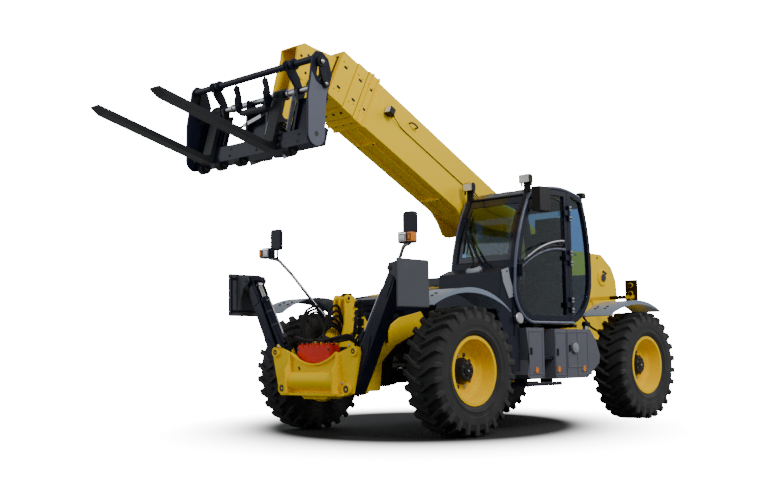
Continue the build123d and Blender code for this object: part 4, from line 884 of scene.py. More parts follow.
# ---------------------------------------------------------------- front stabiliser frame
class FrontEnd(Assembly):
    """Fittings of the yellow front frame: pin keepers, valve unions, hoses and connectors."""

    face = 2.53                # x of the front plate's front face
    pins = (((0.452, 0.472), 0.032), ((0.55, 0.825), 0.024))   # (y, z) and radius of a leg's and a jack's pin
    lever = (1.787, 1.37)      # (x, z) of the lever's pin

    def keepers(self) -> None:
        """Grooved pin ends with their keeper plates and bolts."""
        piece = Piece("pin_keepers", "chassis", YELLOW, sharp=30)
        x = self.face
        for sign in (1, -1):
            for (y, z), r in self.pins:
                middle = at(x + 0.012, sign * y, z)
                piece.use(YELLOW).lathe(middle, AHEAD, [
                    (0.0, r + 0.026), (0.01, r + 0.026), (0.014, r + 0.02), (0.014, r + 0.004), (0.004, r + 0.001),
                ], 36, ring=True)
                piece.use(STEEL).lathe(middle, AHEAD, [
                    (0.0, r), (0.012, r), (0.015, r - 0.004), (0.015, r * 0.45), (0.004, r * 0.4), (0.004, 0),
                ], 28)
                ends = [(x + 0.018, sign * (y - 0.074), z + 0.04), (x + 0.018, sign * (y - 0.03), z + 0.072)]
                piece.use(YELLOW).bar(*ends, 0.01, 0.026, Vector((0, 0.5, -1)))
                piece.use(BARE).bolt((x + 0.023, sign * (y - 0.052), z + 0.056), AHEAD, 0.009)
        piece.done()

    def web(self) -> None:
        """Weld beads along the ribs and the lower flange, and a dark plate as painted shade in the web's small slot.
        """
        piece = Piece("frame_welds", "chassis", YELLOW, sharp=60)
        x = self.face + 0.004
        for sign in (1, -1):
            for y in (0.322, 0.348):
                piece.tube([(x, sign * y, 0.425), (x, sign * y, 0.79)], 0.008, 8)
            piece.tube([(x, sign * 0.2, 0.43), (x, sign * 0.31, 0.446)], 0.01, 8)
        # painted shade: a dark plate stands in the web's small slot
        slot = ((-0.236, 0.672), (-0.222, 0.69), (-0.198, 0.66), (-0.212, 0.642))
        piece.use(IRON).skin(slot, (self.face - 0.004, self.face + 0.002), facing_x, smooth=True).done()

    def unions(self) -> None:
        """Valve unions, and black blocks as painted shade in the port openings in the block's top."""
        piece = Piece("valve_unions", "chassis", STEEL, sharp=30)
        union = [(0, 0.016), (0.01, 0.016), (0.012, 0.012), (0.02, 0.011), (0.021, 0)]
        for i in range(6):
            for x in (2.38, 2.438):
                piece.lathe((x, 0.077 * i - 0.266, 0.906), UP, union, 6)
        # painted shade: black blocks stand where the ports open in the block's top
        piece.use(BLACK)
        for y in (-0.228, 0.003):
            piece.block((2.392, y, 0.8905), (2.426, y + 0.15, 0.8965))
        piece.use(STEEL).bolts([(2.4795, y, z) for y in (-0.285, 0.145) for z in (0.73, 0.845)], AHEAD, 0.008).done()

    def hoses(self) -> None:
        """Hydraulic hoses from the valve block to the legs, the bracket and the connector stack."""
        piece = Piece("front_hoses", "chassis", HOSE, sharp=70)
        for i, lift in enumerate((0.02, 0.1, 0.05)):
            y = 0.154 * i - 0.266
            # over to the bracket and down between its plates and the rail
            piece.tube([
                (2.38, y, 0.918), (2.37, y, 0.936 + 0.1 * lift), (2.24, y * 0.6 - 0.1, 0.94 + 0.1 * lift),
                (2.12, -0.32, 0.985), (2.0, -0.338, 1.08 + lift), (1.88, -0.34, 1.04 + lift),
                (1.8, -0.342, 0.95 + 0.03 * i),
            ], 0.0135, 12, 0.14)
        for sign in (1, -1):
            for i in range(3):
                y = sign * (0.045 + 0.077 * i) - 0.075
                piece.tube([
                    (2.438, y, 0.918), (2.446, y + sign * 0.01, 0.93 + 0.008 * i),
                    (2.43, sign * (0.34 + 0.02 * i), 0.955 + 0.015 * i), (2.4, sign * (0.425 + 0.012 * i), 0.91),
                    (2.33, sign * (0.438 + 0.01 * i), 0.85 - 0.03 * i), (2.275, sign * 0.435, 0.78 - 0.035 * i),
                ], 0.0125, 12, 0.12)
        for i in range(3):
            # wide loops from the connector stack to the bracket
            piece.tube([
                (2.245, 0.302, 1.02 + 0.085 * i), (2.31, 0.345, 1.0 + 0.06 * i), (2.33, 0.335, 0.945),
                (2.29, 0.05 + 0.03 * i, 0.918 + 0.012 * i), (2.2, -0.22, 0.92 + 0.012 * i),
                (2.08, -0.335, 1.02 + 0.03 * i), (1.98, -0.345, 1.14 + 0.07 * i), (1.88, -0.342, 1.21 + 0.05 * i),
                (1.8, -0.342, 1.1),
            ], 0.013, 12, 0.16)
            # bundle over the right wheel's inner side towards the lamp's arm
            piece.tube([
                (2.3, -0.41 - 0.016 * i, 0.86), (2.27, -0.45 - 0.018 * i, 1.05 + 0.03 * i),
                (2.16, -0.5 - 0.01 * i, 1.2 + 0.03 * i), (2.01, -0.5, 1.25 + 0.03 * i),
                (1.9, -0.47, 1.12 + 0.02 * i), (1.88, -0.43, 0.9),
            ], 0.0125, 12, 0.14)
        piece.done()

    def connectors(self) -> None:
        """Stack of black connector blocks on its post beside the near leg."""
        piece = Piece("connector_stack", "chassis", BLACK, bevel=0.004)
        piece.block((2.205, 0.286, 0.868), (2.225, 0.33, 1.32))
        for i in range(4):
            z = 0.985 + 0.085 * i
            piece.block((2.165, 0.268, z), (2.245, 0.318, z + 0.068))
            piece.button((2.245, 0.292, z + 0.034), AHEAD, 0.018, 0.016, 0.018, 0.012, 16)
        piece.done()

    def bracket(self) -> None:
        """Pin ends, rollers' faces and bolts of the lever bracket."""
        piece = Piece("bracket_fittings", "chassis", YELLOW)
        x, z = self.lever
        rollers = ((1.69, 1.29), (1.7, 1.17))
        for y, out in ((-0.2905, 1), (-0.3935, -1)):
            axis = LEFT * out
            piece.use(YELLOW).lathe((x, y, z), axis, [
                (0, 0.036), (0.012, 0.036), (0.015, 0.032), (0.015, 0.02), (0.006, 0.018),
            ], 28, ring=True)
            y += out * 0.008
            piece.use(STEEL).bolt((x, y, z), axis, 0.012).bolts([(a, y, b) for a, b in rollers], axis, 0.011)
        cheek = [(1.83, 1.37), (1.838, 1.1), (1.905, 0.871), (1.56, 0.871), (1.622, 1.06), (1.64, 1.33),
                 (1.7, 1.4), *arc_through((1.765, 1.411), (1.812, 1.402), (1.83, 1.37), 5)[:-1]]
        piece.use(YELLOW).plate(cheek, -0.452, 0.014).rod((x, -0.3925, z), -LEFT, 0.024, 0.075, 24).use(STEEL)
        for a, b in rollers:
            piece.rod((a, -0.3925, b), -LEFT, 0.027, 0.07, 24)
        piece.use(BLACK)
        for i in range(5):
            x, z = 1.7 + 0.022 * i, 1.402 + 0.003 * (i % 2)
            piece.block((x, -0.374, z), (x + 0.012, -0.312, z + 0.022))
        piece.done()

    def steps(self) -> Steps:
        """Its makers, in order."""
        return self.keepers, self.web, self.unions, self.hoses, self.connectors, self.bracket


class Stabiliser(Assembly):
    """Fittings of one stabiliser: leg edges, jack lines and the pad's ribs."""


    def __init__(self, name: str, sign: int) -> None:
        """Choose the side.

        Args:
            name: "left" or "right".
            sign: of its y.
        """
        self.name, self.sign = name, sign

    def on_line(self, foot: Flat, tip: Flat, along: float, out: float, x: float) -> Vector:
        """Point along a line in (y, z) of the left side, mirrored for the right one.

        Args:
            foot: where the line starts.
            tip: a point that it passes.
            along: distance from the foot.
            out: distance outward, square to the line.
            x: of the point.

        Returns:
            The point.
        """
        length = hypot(tip[0] - foot[0], tip[1] - foot[1])
        y, z = (tip[0] - foot[0]) / length, (tip[1] - foot[1]) / length
        return at(x, self.sign * (foot[0] + along * y + out * z), foot[1] + along * z - out * y)

    def on_leg(self, along: float, out: float, x: float) -> Vector:
        """Point along the leg from its pin and outward square to it."""
        return self.on_line((0.452, 0.472), (1.02, 1.57), along, out, x)

    def on_jack(self, along: float, out: float, x: float = 2.42) -> Vector:
        """Point along the jack from its lower pin and outward square to it."""
        return self.on_line((0.55, 0.825), (0.954, 1.524), along, out, x)

    def leg(self) -> None:
        """Doubler plate at the pin, the tip's plate and its pin caps."""
        piece = Piece(f"leg_fittings_{self.name}", f"leg_{self.name}", SLATE, bevel=0.002)
        foot = ((0.1, -0.03), (0.1, 0.052), (0.42, 0.058), (0.56, 0.02), (0.42, -0.022))
        tip = ((0.96, -0.03), (0.96, 0.05), (1.16, 0.044), (1.2, 0.0), (1.16, -0.022))
        for x, out in ((2.345, -1), (2.495, 1)):
            piece.use(SLATE)
            for outline in (foot, tip):
                piece.skin(outline, (x - out * 0.001, x + out * 0.006), self.on_leg)
            piece.use(STEEL).lathe(self.on_leg(1.236, 0, x + out * 0.044), AHEAD * out, [
                (-0.002, 0.028), (0.007, 0.028), (0.01, 0.024), (0.01, 0),
            ], 26).bolt(self.on_leg(1.236, 0, x + out * 0.053), AHEAD * out, 0.01)
        piece.done()

    def jack(self) -> None:
        """Pressure pipe, check valve and hoses along the jack's barrel."""
        piece = Piece(f"jack_lines_{self.name}", f"jack_{self.name}", SLATE)
        axis = self.on_jack(1, 0, 0) - self.on_jack(0, 0, 0)
        piece.lathe(self.on_jack(0.585, 0), axis, [
            (-0.008, 0.0535), (0.0, 0.056), (0.05, 0.056), (0.058, 0.05), (0.058, 0.0256), (0.0, 0.0254),
        ], 32, ring=True)
        pipe = ((0.105, -0.046), (0.11, -0.07), (0.2, -0.07), (0.54, -0.07), (0.585, -0.066), (0.6, -0.05))
        piece.use(BARE).tube([self.on_jack(a, o) for a, o in pipe], 0.008, 10, 0.03)
        valve = ((0.075, -0.044), (0.075, -0.078), (0.175, -0.078), (0.175, -0.044))
        piece.use(SLATE).skin(valve, (2.388, 2.452), self.on_jack).use(HOSE)
        for x in (2.402, 2.438):
            hose = ((0.125, -0.077), (0.1, -0.11), (0.03, -0.115), (-0.02, -0.08))
            piece.tube([self.on_jack(a, o, x) for a, o in hose], 0.01, 10, 0.05)
        piece.use(STEEL)
        for a in (0.3, 0.46):
            clamp = [(0, 0.0455), (0, 0.0485), (0.018, 0.0485), (0.018, 0.0455)]
            piece.lathe(self.on_jack(a, 0), axis, clamp, 32, ring=True)
        piece.done()

    def pad(self) -> None:
        """Ribs and rim of the ground plate."""
        piece = Piece(f"pad_fittings_{self.name}", f"pad_{self.name}", SLATE, bevel=0.002)
        rib = [(self.sign * y, z) for y, z in ((1.185, 1.63), (1.165, 1.61), (1.165, 1.245), (1.185, 1.225))]
        for x in (2.235, 2.6):
            piece.skin(rib, (x, x + 0.01), facing_x)
        for z in (1.262, 1.6):
            piece.block((2.235, self.sign * 1.16, z - 0.005), (2.61, self.sign * 1.185, z + 0.005))
        piece.done()

    def steps(self) -> Steps:
        """Its makers, in order."""
        return self.leg, self.jack, self.pad


# ---------------------------------------------------------------- boom
class Boom(Assembly):
    """Wear pad bolts, collars' ribs, root plates, hoses and lamp along the boom."""

    collars = (                # body, collar's end, its half width and height, the next section's
        ("boom", 4.55, 0.2, 0.288, 0.165, 0.24),
        ("boom_2", 4.71, 0.197, 0.276, 0.14, 0.21),
        ("boom_3", 4.93, 0.192, 0.262, 0.115, 0.18),
    )

    @staticmethod
    def on_side(along: float, up: float, y: float) -> Vector:
        """Point on the boom, up from the sections' middle line."""
        return on_boom(along, BOOM_LINE + up, y)

    def pads(self) -> None:
        """Bolt rows on the three collars, and black plates as painted shade in their adjusting slots."""
        slot = ((-0.02, -0.012), (-0.026, 0), (-0.02, 0.012), (0.02, 0.012), (0.026, 0), (0.02, -0.012))
        for index, (body, end, half_w, half_h, _, _) in enumerate(self.collars):
            piece = Piece(f"collar_fittings_{index + 1}", body, YELLOW, bevel=0.002)
            for sign in (1, -1):
                axis = LEFT * sign
                piece.use(YELLOW)
                for v in (-0.165, 0.165):
                    piece.bolt(self.on_side(end - 0.045, v, sign * half_w), axis, 0.009)
                    piece.bolt(self.on_side(end - 0.11, v * 0.92, sign * half_w), axis, 0.007)
                # painted shade: black plates stand in the adjusting slots
                piece.use(BLACK)
                for v in (-0.12, 0.12):
                    outline = [(end - 0.09 + a, v + b) for a, b in slot]
                    piece.skin(outline, (sign * (half_w - 0.001), sign * (half_w + 0.003)), self.on_side)
            piece.use(STEEL)
            for sign in (1, -1):
                places = [self.on_side(end - 0.07, sign * half_h, y) for y in (-0.11, 0.0, 0.11)]
                piece.bolts(places, OFF_BOOM * sign, 0.011)
            piece.done()

    def lips(self) -> None:
        """Dark scraper lips where each section slides into the next."""
        for index, (body, end, _, _, inner_w, inner_h) in enumerate(self.collars):
            Piece(f"scraper_{index + 1}", body, BLACK).loft([
                [self.on_side(end + a, v * (inner_h + grow), w * (inner_w + grow)) for w, v in SQUARE]
                for a, grow in ((-0.001, 0.026), (0.006, 0.026), (0.007, 0.0022), (-0.001, 0.0022))
            ], closed=True, smooth=False).done()

    def root(self) -> None:
        """Root doublers, side ribs and bracket bolts."""
        piece = Piece("boom_root_fittings", "boom", YELLOW, bevel=0.002)
        doubler = ((2.36, -0.64), (2.4, -0.7), (2.52, -0.705), (2.62, -0.64), (2.6, -0.61), (2.38, -0.61))
        for sign in (1, -1):
            y, axis = sign * 0.1895, LEFT * sign
            piece.use(YELLOW).skin(doubler, (y, y + sign * 0.008), on_boom)
            for a in (0.55, 0.95, 1.35):
                rib = ((a, -0.2), (a + 0.012, -0.2), (a + 0.012, -0.56), (a, -0.56))
                piece.skin(rib, (y, y + sign * 0.006), on_boom)
            places = [on_boom(a, v, sign * 0.19) for a, v in ((2.37, -0.735), (2.45, -0.75), (2.53, -0.735))]
            piece.use(STEEL).bolts(places, axis, 0.011)
        piece.done()

    def belly(self) -> None:
        """Steel lines and their clamps along the underside."""
        piece = Piece("belly_lines", "boom", STEEL)
        down = -0.6405
        line = ((2.7, 0.004), (2.76, -0.016), (3.6, -0.016), (4.33, -0.016), (4.37, 0.002))
        clamp = ((-0.125, 0.001), (-0.125, -0.034), (0.125, -0.034), (0.125, 0.001))
        piece.use(YELLOW)
        for y in (-0.085, 0.085):
            piece.tube([on_boom(a, down + v, y) for a, v in line], 0.011, 10, 0.03)
        for a in (3.0, 4.1):
            piece.use(YELLOW).skin(clamp, (a, a + 0.03), lambda y, v, along: on_boom(along, down + v, y))
            piece.use(STEEL).bolts([on_boom(a + 0.015, down - 0.034, y) for y in (-0.11, 0.11)], -OFF_BOOM, 0.008)
        piece.done()

    def lamp(self) -> None:
        """Work lamp, its bracket and cable, and the hook behind it, on the boom's left side."""
        piece = Piece("boom_lamp", "boom", BLACK, bevel=0.004)
        middle = on_boom(4.16, -0.315, 0.232)
        piece.bar(on_boom(4.1, -0.315, 0.189), on_boom(4.1, -0.315, 0.232), 0.016, 0.06, ALONG_BOOM)
        shell = ((-0.034, -0.04), (0.044, -0.04), (0.05, -0.034), (0.05, 0.034), (0.044, 0.04), (-0.034, 0.04))
        ring = [middle + OFF_BOOM * v + LEFT * y for y, v in shell]
        piece.prism([p - ALONG_BOOM * 0.035 for p in ring], ALONG_BOOM * 0.07, smooth=False).use(LENS)
        glass = [middle + ALONG_BOOM * 0.034 + (p - middle) * 0.8 for p in ring]
        piece.prism(glass, ALONG_BOOM * 0.006, smooth=False)
        hook = on_boom(3.72, -0.22, 0.19)
        line = ((0, 0), (0.045, 0), (0.055, 0.05), (0.045, 0.1), (0, 0.1))
        piece.use(STEEL).tube([hook + LEFT * y + ALONG_BOOM * a for y, a in line], 0.009, 10, 0.03)
        cable = ((4.12, -0.318, 0.234), (4.02, -0.33, 0.215), (3.9, -0.345, 0.1955), (3.2, -0.345, 0.1955),
                 (2.4, -0.345, 0.1955), (2.34, -0.37, 0.189))
        piece.use(HOSE).tube([on_boom(*p) for p in cable], 0.005, 8, 0.05).done()

    def head(self) -> None:
        """Head's edge plates, pivot rings and hose in front of the last collar."""
        piece = Piece("head_fittings", "boom_4", YELLOW, bevel=0.002)
        edge = ((2.66, 3.72), (2.79, 3.7), (2.86, 3.47), (2.78, 3.42), (2.66, 3.52))
        hose = ((2.6, 0.128, 3.52), (2.7, 0.138, 3.44), (2.8, 0.14, 3.2), (2.93, 0.136, 3.03), (2.94, 0.128, 2.97))
        for sign in (1, -1):
            axis, y = LEFT * sign, sign * 0.1245
            piece.use(YELLOW).skin(edge, (y, y + sign * 0.008), facing_y).lathe((3.02, y, 2.93), axis, [
                (0, 0.088), (0.01, 0.088), (0.014, 0.082), (0.014, 0.046), (0.0, 0.044),
            ], 40, ring=True)
            piece.use(STEEL).button((3.02, sign * 0.168, 2.93), axis, 0.03, 0.006, 0.009, 0.026, 28)
            piece.bolts([(x, sign * 0.1325, z) for x, z in ((2.7, 3.68), (2.79, 3.66), (2.74, 3.5))], axis, 0.01)
            piece.use(HOSE).tube([(x, sign * y, z) for x, y, z in hose], 0.01, 10, 0.08)
        piece.done()

    def steps(self) -> Steps:
        """Its makers, in order."""
        return self.pads, self.lips, self.root, self.belly, self.lamp, self.head


# ---------------------------------------------------------------- carriage
class Carriage(Assembly):
    """Collars, rollers, latch and quick hitch of the fork carriage."""

    half = 0.885               # y of the end plates' outer faces
    shaft = (3.29, 3.387)      # (x, z) of the upper tube
    rail = (0.003, 0.558)      # fork rail, forward and up from the heel

    def collars(self) -> None:
        """Split collars on the upper tube and stop rings on the fork rail."""
        piece = Piece("carriage_collars", "carriage", SLATE)
        x, z = self.shaft
        for y in (-0.6, -0.5, 0.48, 0.58):
            piece.use(SLATE).lathe((x, y + 0.004, z), LEFT, [
                (0, 0.05), (0.004, 0.053), (0.014, 0.053), (0.018, 0.05), (0.018, 0.033), (0, 0.033),
            ], 32, ring=True)
            piece.use(BARE).bolt((x - 0.03, y + 0.013, z + 0.042), Vector((-0.5, 0, 0.85)), 0.007, False)
        stop = [(0, 0.0302), (0, 0.04), (0.016, 0.04), (0.016, 0.0302)]
        for y in (-0.86, -0.745, -0.555, -0.44, 0.15, 0.375, 0.47, 0.86):
            piece.lathe(on_fork(*self.rail, y - 0.008), LEFT, stop, 28, ring=True)
        piece.done()

    def rollers(self) -> None:
        """Black rollers in their yokes under the bottom beam."""
        piece = Piece("carriage_rollers", "carriage", BLACK, sharp=30)
        roller = [(0, 0.03), (0, 0.052), (0.01, 0.058), (0.08, 0.058), (0.09, 0.052), (0.09, 0.03)]
        for y in (-0.8, -0.52, -0.22, 0.48):
            piece.use(BLACK).lathe(on_fork(-0.058, 0.004, y - 0.045), LEFT, roller, 30, ring=True)
            piece.use(STEEL).rod(on_fork(-0.058, 0.004, y - 0.052), LEFT, 0.031, 0.104, 20)
        piece.done()

    def hitch(self) -> None:
        """Hook plates, lock lever, lower lips and hoses of the quick hitch."""
        piece = Piece("quick_hitch", "carriage", SLATE, bevel=0.002)
        hook = [(3.275, 3.33), (3.31, 3.345), (3.34, 3.3), (3.315, 3.245), (3.33, 3.19), (3.31, 3.09),
                (3.25, 3.06), (3.235, 3.15), (3.25, 3.24)]
        lip = [(3.13, 2.64), (3.05, 2.68), (2.985, 2.705), (2.972, 2.69), (2.995, 2.645), (3.11, 2.598)]
        for y in (-0.215, 0.2):
            piece.plate(hook, y + 0.008, 0.016)
        piece.use(BOX_GREY)
        for y in (-0.245, 0.227):
            piece.plate(lip, y + 0.018, 0.018)
        piece.use(LENS).bar((3.235, -0.2, 2.96), (3.235, 0.06, 3.015), 0.01, 0.034, Vector((0, -0.2, 1)))
        lever = [(3.225, -0.26, 2.955), (3.225, -0.1, 2.985), (3.225, 0.1, 3.02), (3.215, 0.2, 3.07)]
        piece.use(STEEL).tube(lever, 0.011, 10, 0.03).rod((3.25, -0.19, 3.075), LEFT, 0.03, 0.36, 22).use(HOSE)
        for i in range(4):
            y = 0.02 * i
            piece.tube([
                (3.215, 0.185 + y, 2.8), (3.24, 0.2 + y, 2.86 + 0.01 * i), (3.23, 0.28 + 0.03 * i, 2.87 + 0.012 * i),
                (3.2, 0.36 + 0.03 * i, 2.82),
            ], 0.01, 10, 0.03)
        places = [on_fork(-0.001, v, y) for y in (-0.7, -0.34, 0.05, 0.36, 0.62) for v in (0.115, 0.05)]
        piece.use(STEEL).bolts(places, on_fork(1, 0) - on_fork(0, 0), 0.011).done()

    def panels(self) -> None:
        """Flanged back panels and the stiffeners beside the fork shanks."""
        piece = Piece("carriage_panels", "carriage", SLATE, bevel=0.002)
        flange = ((-0.03, 0.168), (-0.004, 0.18), (-0.004, 0.48), (-0.03, 0.494))
        stiffener = ((-0.022, 0.165), (0.018, 0.18), (0.024, 0.5), (0.004, 0.6), (-0.022, 0.6))
        for y in (-0.845, -0.49, 0.49, 0.845):
            piece.skin(flange, (y - 0.005, y + 0.005), on_fork)
        piece.use(BOX_GREY)
        for y in (0.16, 0.455):
            piece.skin(stiffener, (y - 0.008, y + 0.008), on_fork)
        piece.done()

    def faces(self) -> None:
        """Light outer faces of the end plates, and the bright fork rail between the forks."""
        piece = Piece("carriage_faces", "carriage", PLATE_GREY, sharp=40)
        x, z, radius = 3.2995, 2.7, 0.0975
        foot = [(x + radius * cos(pi + pi * k / 12), z + radius * sin(pi + pi * k / 12)) for k in range(13)]
        outline = [(3.352, 3.26), (3.3, 3.175), (3.24, 3.15), (3.147, 3.18), (3.182, 3.04), *foot, (3.394, 3.04)]
        for y in (self.half + 0.0025, -self.half + 0.0005):
            piece.plate(outline, y, 0.003)
        piece.use(IRON)
        for out in (1, -1):
            y = out * (self.half + 0.002)
            piece.lathe((3.3, y, 2.71), LEFT * out, [(0, 0.024), (0.0012, 0.024), (0.0012, 0)], 26)
            y += out * 0.0006
            piece.bar((3.236, y, 3.246), (3.262, y, 3.19), 0.001, 0.012, Vector((0.9, 0, 0.4)))
        piece.use(BARE)
        for y0, y1 in ((-0.862, -0.722), (-0.578, 0.198), (0.342, 0.862)):
            piece.rod(on_fork(*self.rail, y0), LEFT, 0.0306, y1 - y0, 26)
        piece.done()

    def latch(self) -> None:
        """Black latch on each end plate, with its knob and link."""
        piece = Piece("carriage_latch", "carriage", BLACK, bevel=0.003)
        knob = [(0, 0.05), (0.022, 0.05), (0.028, 0.044), (0.028, 0.024), (0.04, 0.022), (0.04, 0)]
        for sign in (1, -1):
            y, out = sign * self.half, LEFT * sign
            piece.use(BLACK).lathe((3.252, y - sign * 0.001, 3.355), out, knob, 30)
            piece.bar((3.25, y + sign * 0.01, 3.31), (3.205, y + sign * 0.01, 3.18), 0.02, 0.05, AHEAD)
            piece.button((3.2, y - sign * 0.001, 3.165), out, 0.034, 0.03, 0.034, 0.03, 26)
            piece.use(BARE).bolt((3.252, y + sign * 0.038, 3.355), out, 0.013)
            piece.bolt((3.2, y + sign * 0.032, 3.165), out, 0.01)
        piece.use(BLACK).block((3.185, 0.8, 3.06), (3.255, 0.866, 3.14)).done()

    def steps(self) -> Steps:
        """Its makers, in order."""
        return self.collars, self.rollers, self.hitch, self.panels, self.faces, self.latch


# ---------------------------------------------------------------- cab
class Cab(Assembly):
    """Tubes, seals, lamps, wiper, mirror and fittings of the cab."""

    outer = 1.115              # y of the cab's outer face
    inner = 0.275              # y of its right face
    screen_ends = (0.338, 1.052)   # y of the windscreen's right and left edge

    @staticmethod
    def screen(z: float, inset: float) -> float:
        """X of the windscreen's arc at a height.

        Args:
            z: the height.
            inset: how far inward of the arc.

        Returns:
            The x.
        """
        path = arc_through((0.54, 2.385), (0.725, 1.95), (0.8, 1.5), 24)
        for (x0, z0), (x1, z1) in zip(path, path[1:]):
            if z1 <= z <= z0:
                return x0 + (x1 - x0) * (z - z0) / (z1 - z0) - inset
        return path[0][0] - inset - (z - path[0][1]) * 0.42

    def on_screen(self, z: float, inset: float, y: float) -> Vector:
        """Point on the windscreen's arc, moved inward."""
        return at(self.screen(z, inset), y, z)

    def frame(self) -> None:
        """Round tubes of the cab's side frames, from the roof down the pillar and under the door, in a lighter slate
        as a painted highlight.
        """
        piece = Piece("cab_side_tubes", "chassis", PILLAR_HIGHLIGHT, sharp=60)
        path = [
            *arc_through((-0.43, 2.488), (0.03, 2.549), (0.452, 2.458), 10),
            *arc_through((0.452, 2.458), (0.5, 2.43), (0.528, 2.38), 4)[1:],
            *arc_through((0.528, 2.38), (0.712, 1.948), (0.787, 1.5), 12)[1:],
            *arc_through((0.787, 1.5), (0.733, 1.254), (0.476, 1.098), 12)[1:],
            (-0.26, 1.098),
        ]
        for y in (self.outer - 0.004, self.inner + 0.004):
            piece.tube([(x, y, z) for x, z in path], 0.0165, 12)
        piece.done()

    def screen_border(self) -> None:
        """Dark printed border and rubber seal round the windscreen."""
        piece = Piece("screen_border", "chassis", NAVY, sharp=40)
        low, high = 1.732, 2.438
        right, left = self.screen_ends
        heights = [low + (high - low) * k / 10 for k in range(11)]
        strips = [(y0, y1, heights, 0.0205, 0.0219) for y0, y1 in ((right, 0.392), (0.998, left))]
        for z0, z1 in ((low, low + 0.07), (high - 0.085, high)):
            strips.append((right, left, (z0, (z0 + z1) / 2, z1), 0.0203, 0.0218))
        for y0, y1, levels, front, back in strips:
            section = ((y0, front), (y1, front), (y1, back), (y0, back))
            piece.loft([[self.on_screen(z, inset, y) for y, inset in section] for z in levels])
        piece.use(BLACK)
        for y in (0.3375, 1.0525):
            piece.tube([self.on_screen(z, 0.012, y) for z in heights], 0.0075, 8)
        for z in (low, high):
            piece.tube([self.on_screen(z, 0.012, y) for y in self.screen_ends], 0.0075, 8)
        piece.done()

    def wiper(self) -> None:
        """Wiper motor's boss on the cowl, two arms and the blade."""
        piece = Piece("screen_wiper", "chassis", BOX_GREY, sharp=35)
        foot, up = at(0.925, 0.7, 1.634), Vector((0.34, 0, 0.94)).normalized()
        piece.lathe(foot, up, [(-0.01, 0.086), (0.012, 0.086), (0.03, 0.074), (0.038, 0.056), (0.038, 0)], 36)
        piece.use(BLACK).button(foot + up * 0.036, up, 0.036, 0.018, 0.026, 0.028, 24)
        tip = self.on_screen(2.08, -0.03, 0.42)
        for shift in (-0.034, 0.034):
            root = foot + up * 0.045 + Vector((-0.01, shift, 0))
            elbow = self.on_screen(1.76, -0.045, 0.64 + shift)
            piece.tube([root, root + Vector((-0.03, 0, 0.04)), elbow, tip + LEFT * shift * 0.3], 0.0115, 10, 0.05)
        blade = [self.on_screen(z, -0.004, 0.42 + (2.08 - z) * 0.04) for z in (1.84, 1.95, 2.06, 2.17, 2.28)]
        piece.tube(blade, 0.011, 8)
        piece.tube([blade[1] + AHEAD * 0.006, tip, blade[3] + AHEAD * 0.006], 0.005, 8, 0.03).done()

    def roof(self) -> None:
        """Roof panel's ribs."""
        piece = Piece("roof_ribs", "chassis", SLATE, bevel=0.004)
        top = arc_through((-0.38, 2.506), (0.03, 2.5605), (0.4, 2.486), 8)
        rib = ((-0.035, -0.004), (-0.026, 0.008), (0.026, 0.008), (0.035, -0.004))
        for y in (0.42, 0.6, 0.78, 0.96):
            piece.loft([[at(x, y + a, z + b) for a, b in rib] for x, z in top])
        piece.done()

    def lamps(self) -> None:
        """Work lamps' shells, bezels, glasses and stays, the number plate's lamp, and the cables."""
        piece = Piece("work_lamp_faces", "chassis", LENS, sharp=35)
        half_w, half_h, level = 0.05, 0.034, 2.598
        for y in (0.32, 1.085):
            shell = [(y + a * half_w * 1.42, level + b * half_h * 1.26) for a, b in SQUARE]
            piece.use(BLACK).skin(shell, (0.5, 0.539), facing_x)
            bezel = ((0.538, 1.22), (0.5435, 1.22), (0.5435, 1.08), (0.5385, 1.06))
            piece.use(CHROME).band((y, level), (half_w, half_h), bezel, facing_x)
            piece.use(LENS).block((0.5385, y - 0.053, 2.562), (0.5412, y + 0.053, 2.634)).use(BLACK)
            for side in (-1, 1):
                stay = y + side * 0.062
                piece.bar((0.5, stay, 2.52), (0.5, stay, 2.6), 0.006, 0.026, AHEAD)
                piece.bolt((0.5, y + side * 0.065, level), LEFT * side, 0.009)
            for k in range(5):
                fin = y - 0.046 + 0.02 * k
                piece.block((0.474, fin, 2.6385), (0.528, fin + 0.006, 2.6465))
        piece.use(LENS).block((-0.6275, 1.006, 2.505), (-0.6245, 1.074, 2.555)).done()
        piece = Piece("lamp_cables", "chassis", HOSE, sharp=60)
        for bend, line in (
            (0.04, ((0.472, 1.085, 2.58), (0.44, 1.08, 2.545), (0.5, 1.095, 2.48), (0.565, 1.108, 2.4),
                    (0.63, 1.112, 2.27), (0.64, 1.08, 2.235), (0.617, 1.04, 2.225))),
            (0.03, ((0.472, 0.32, 2.58), (0.43, 0.33, 2.55), (0.4, 0.35, 2.5))),
            (0.03, ((-0.56, 1.04, 2.52), (-0.53, 1.04, 2.5), (-0.53, 1.04, 2.43))),
        ):
            piece.tube(line, 0.0065, 8, bend)
        piece.done()

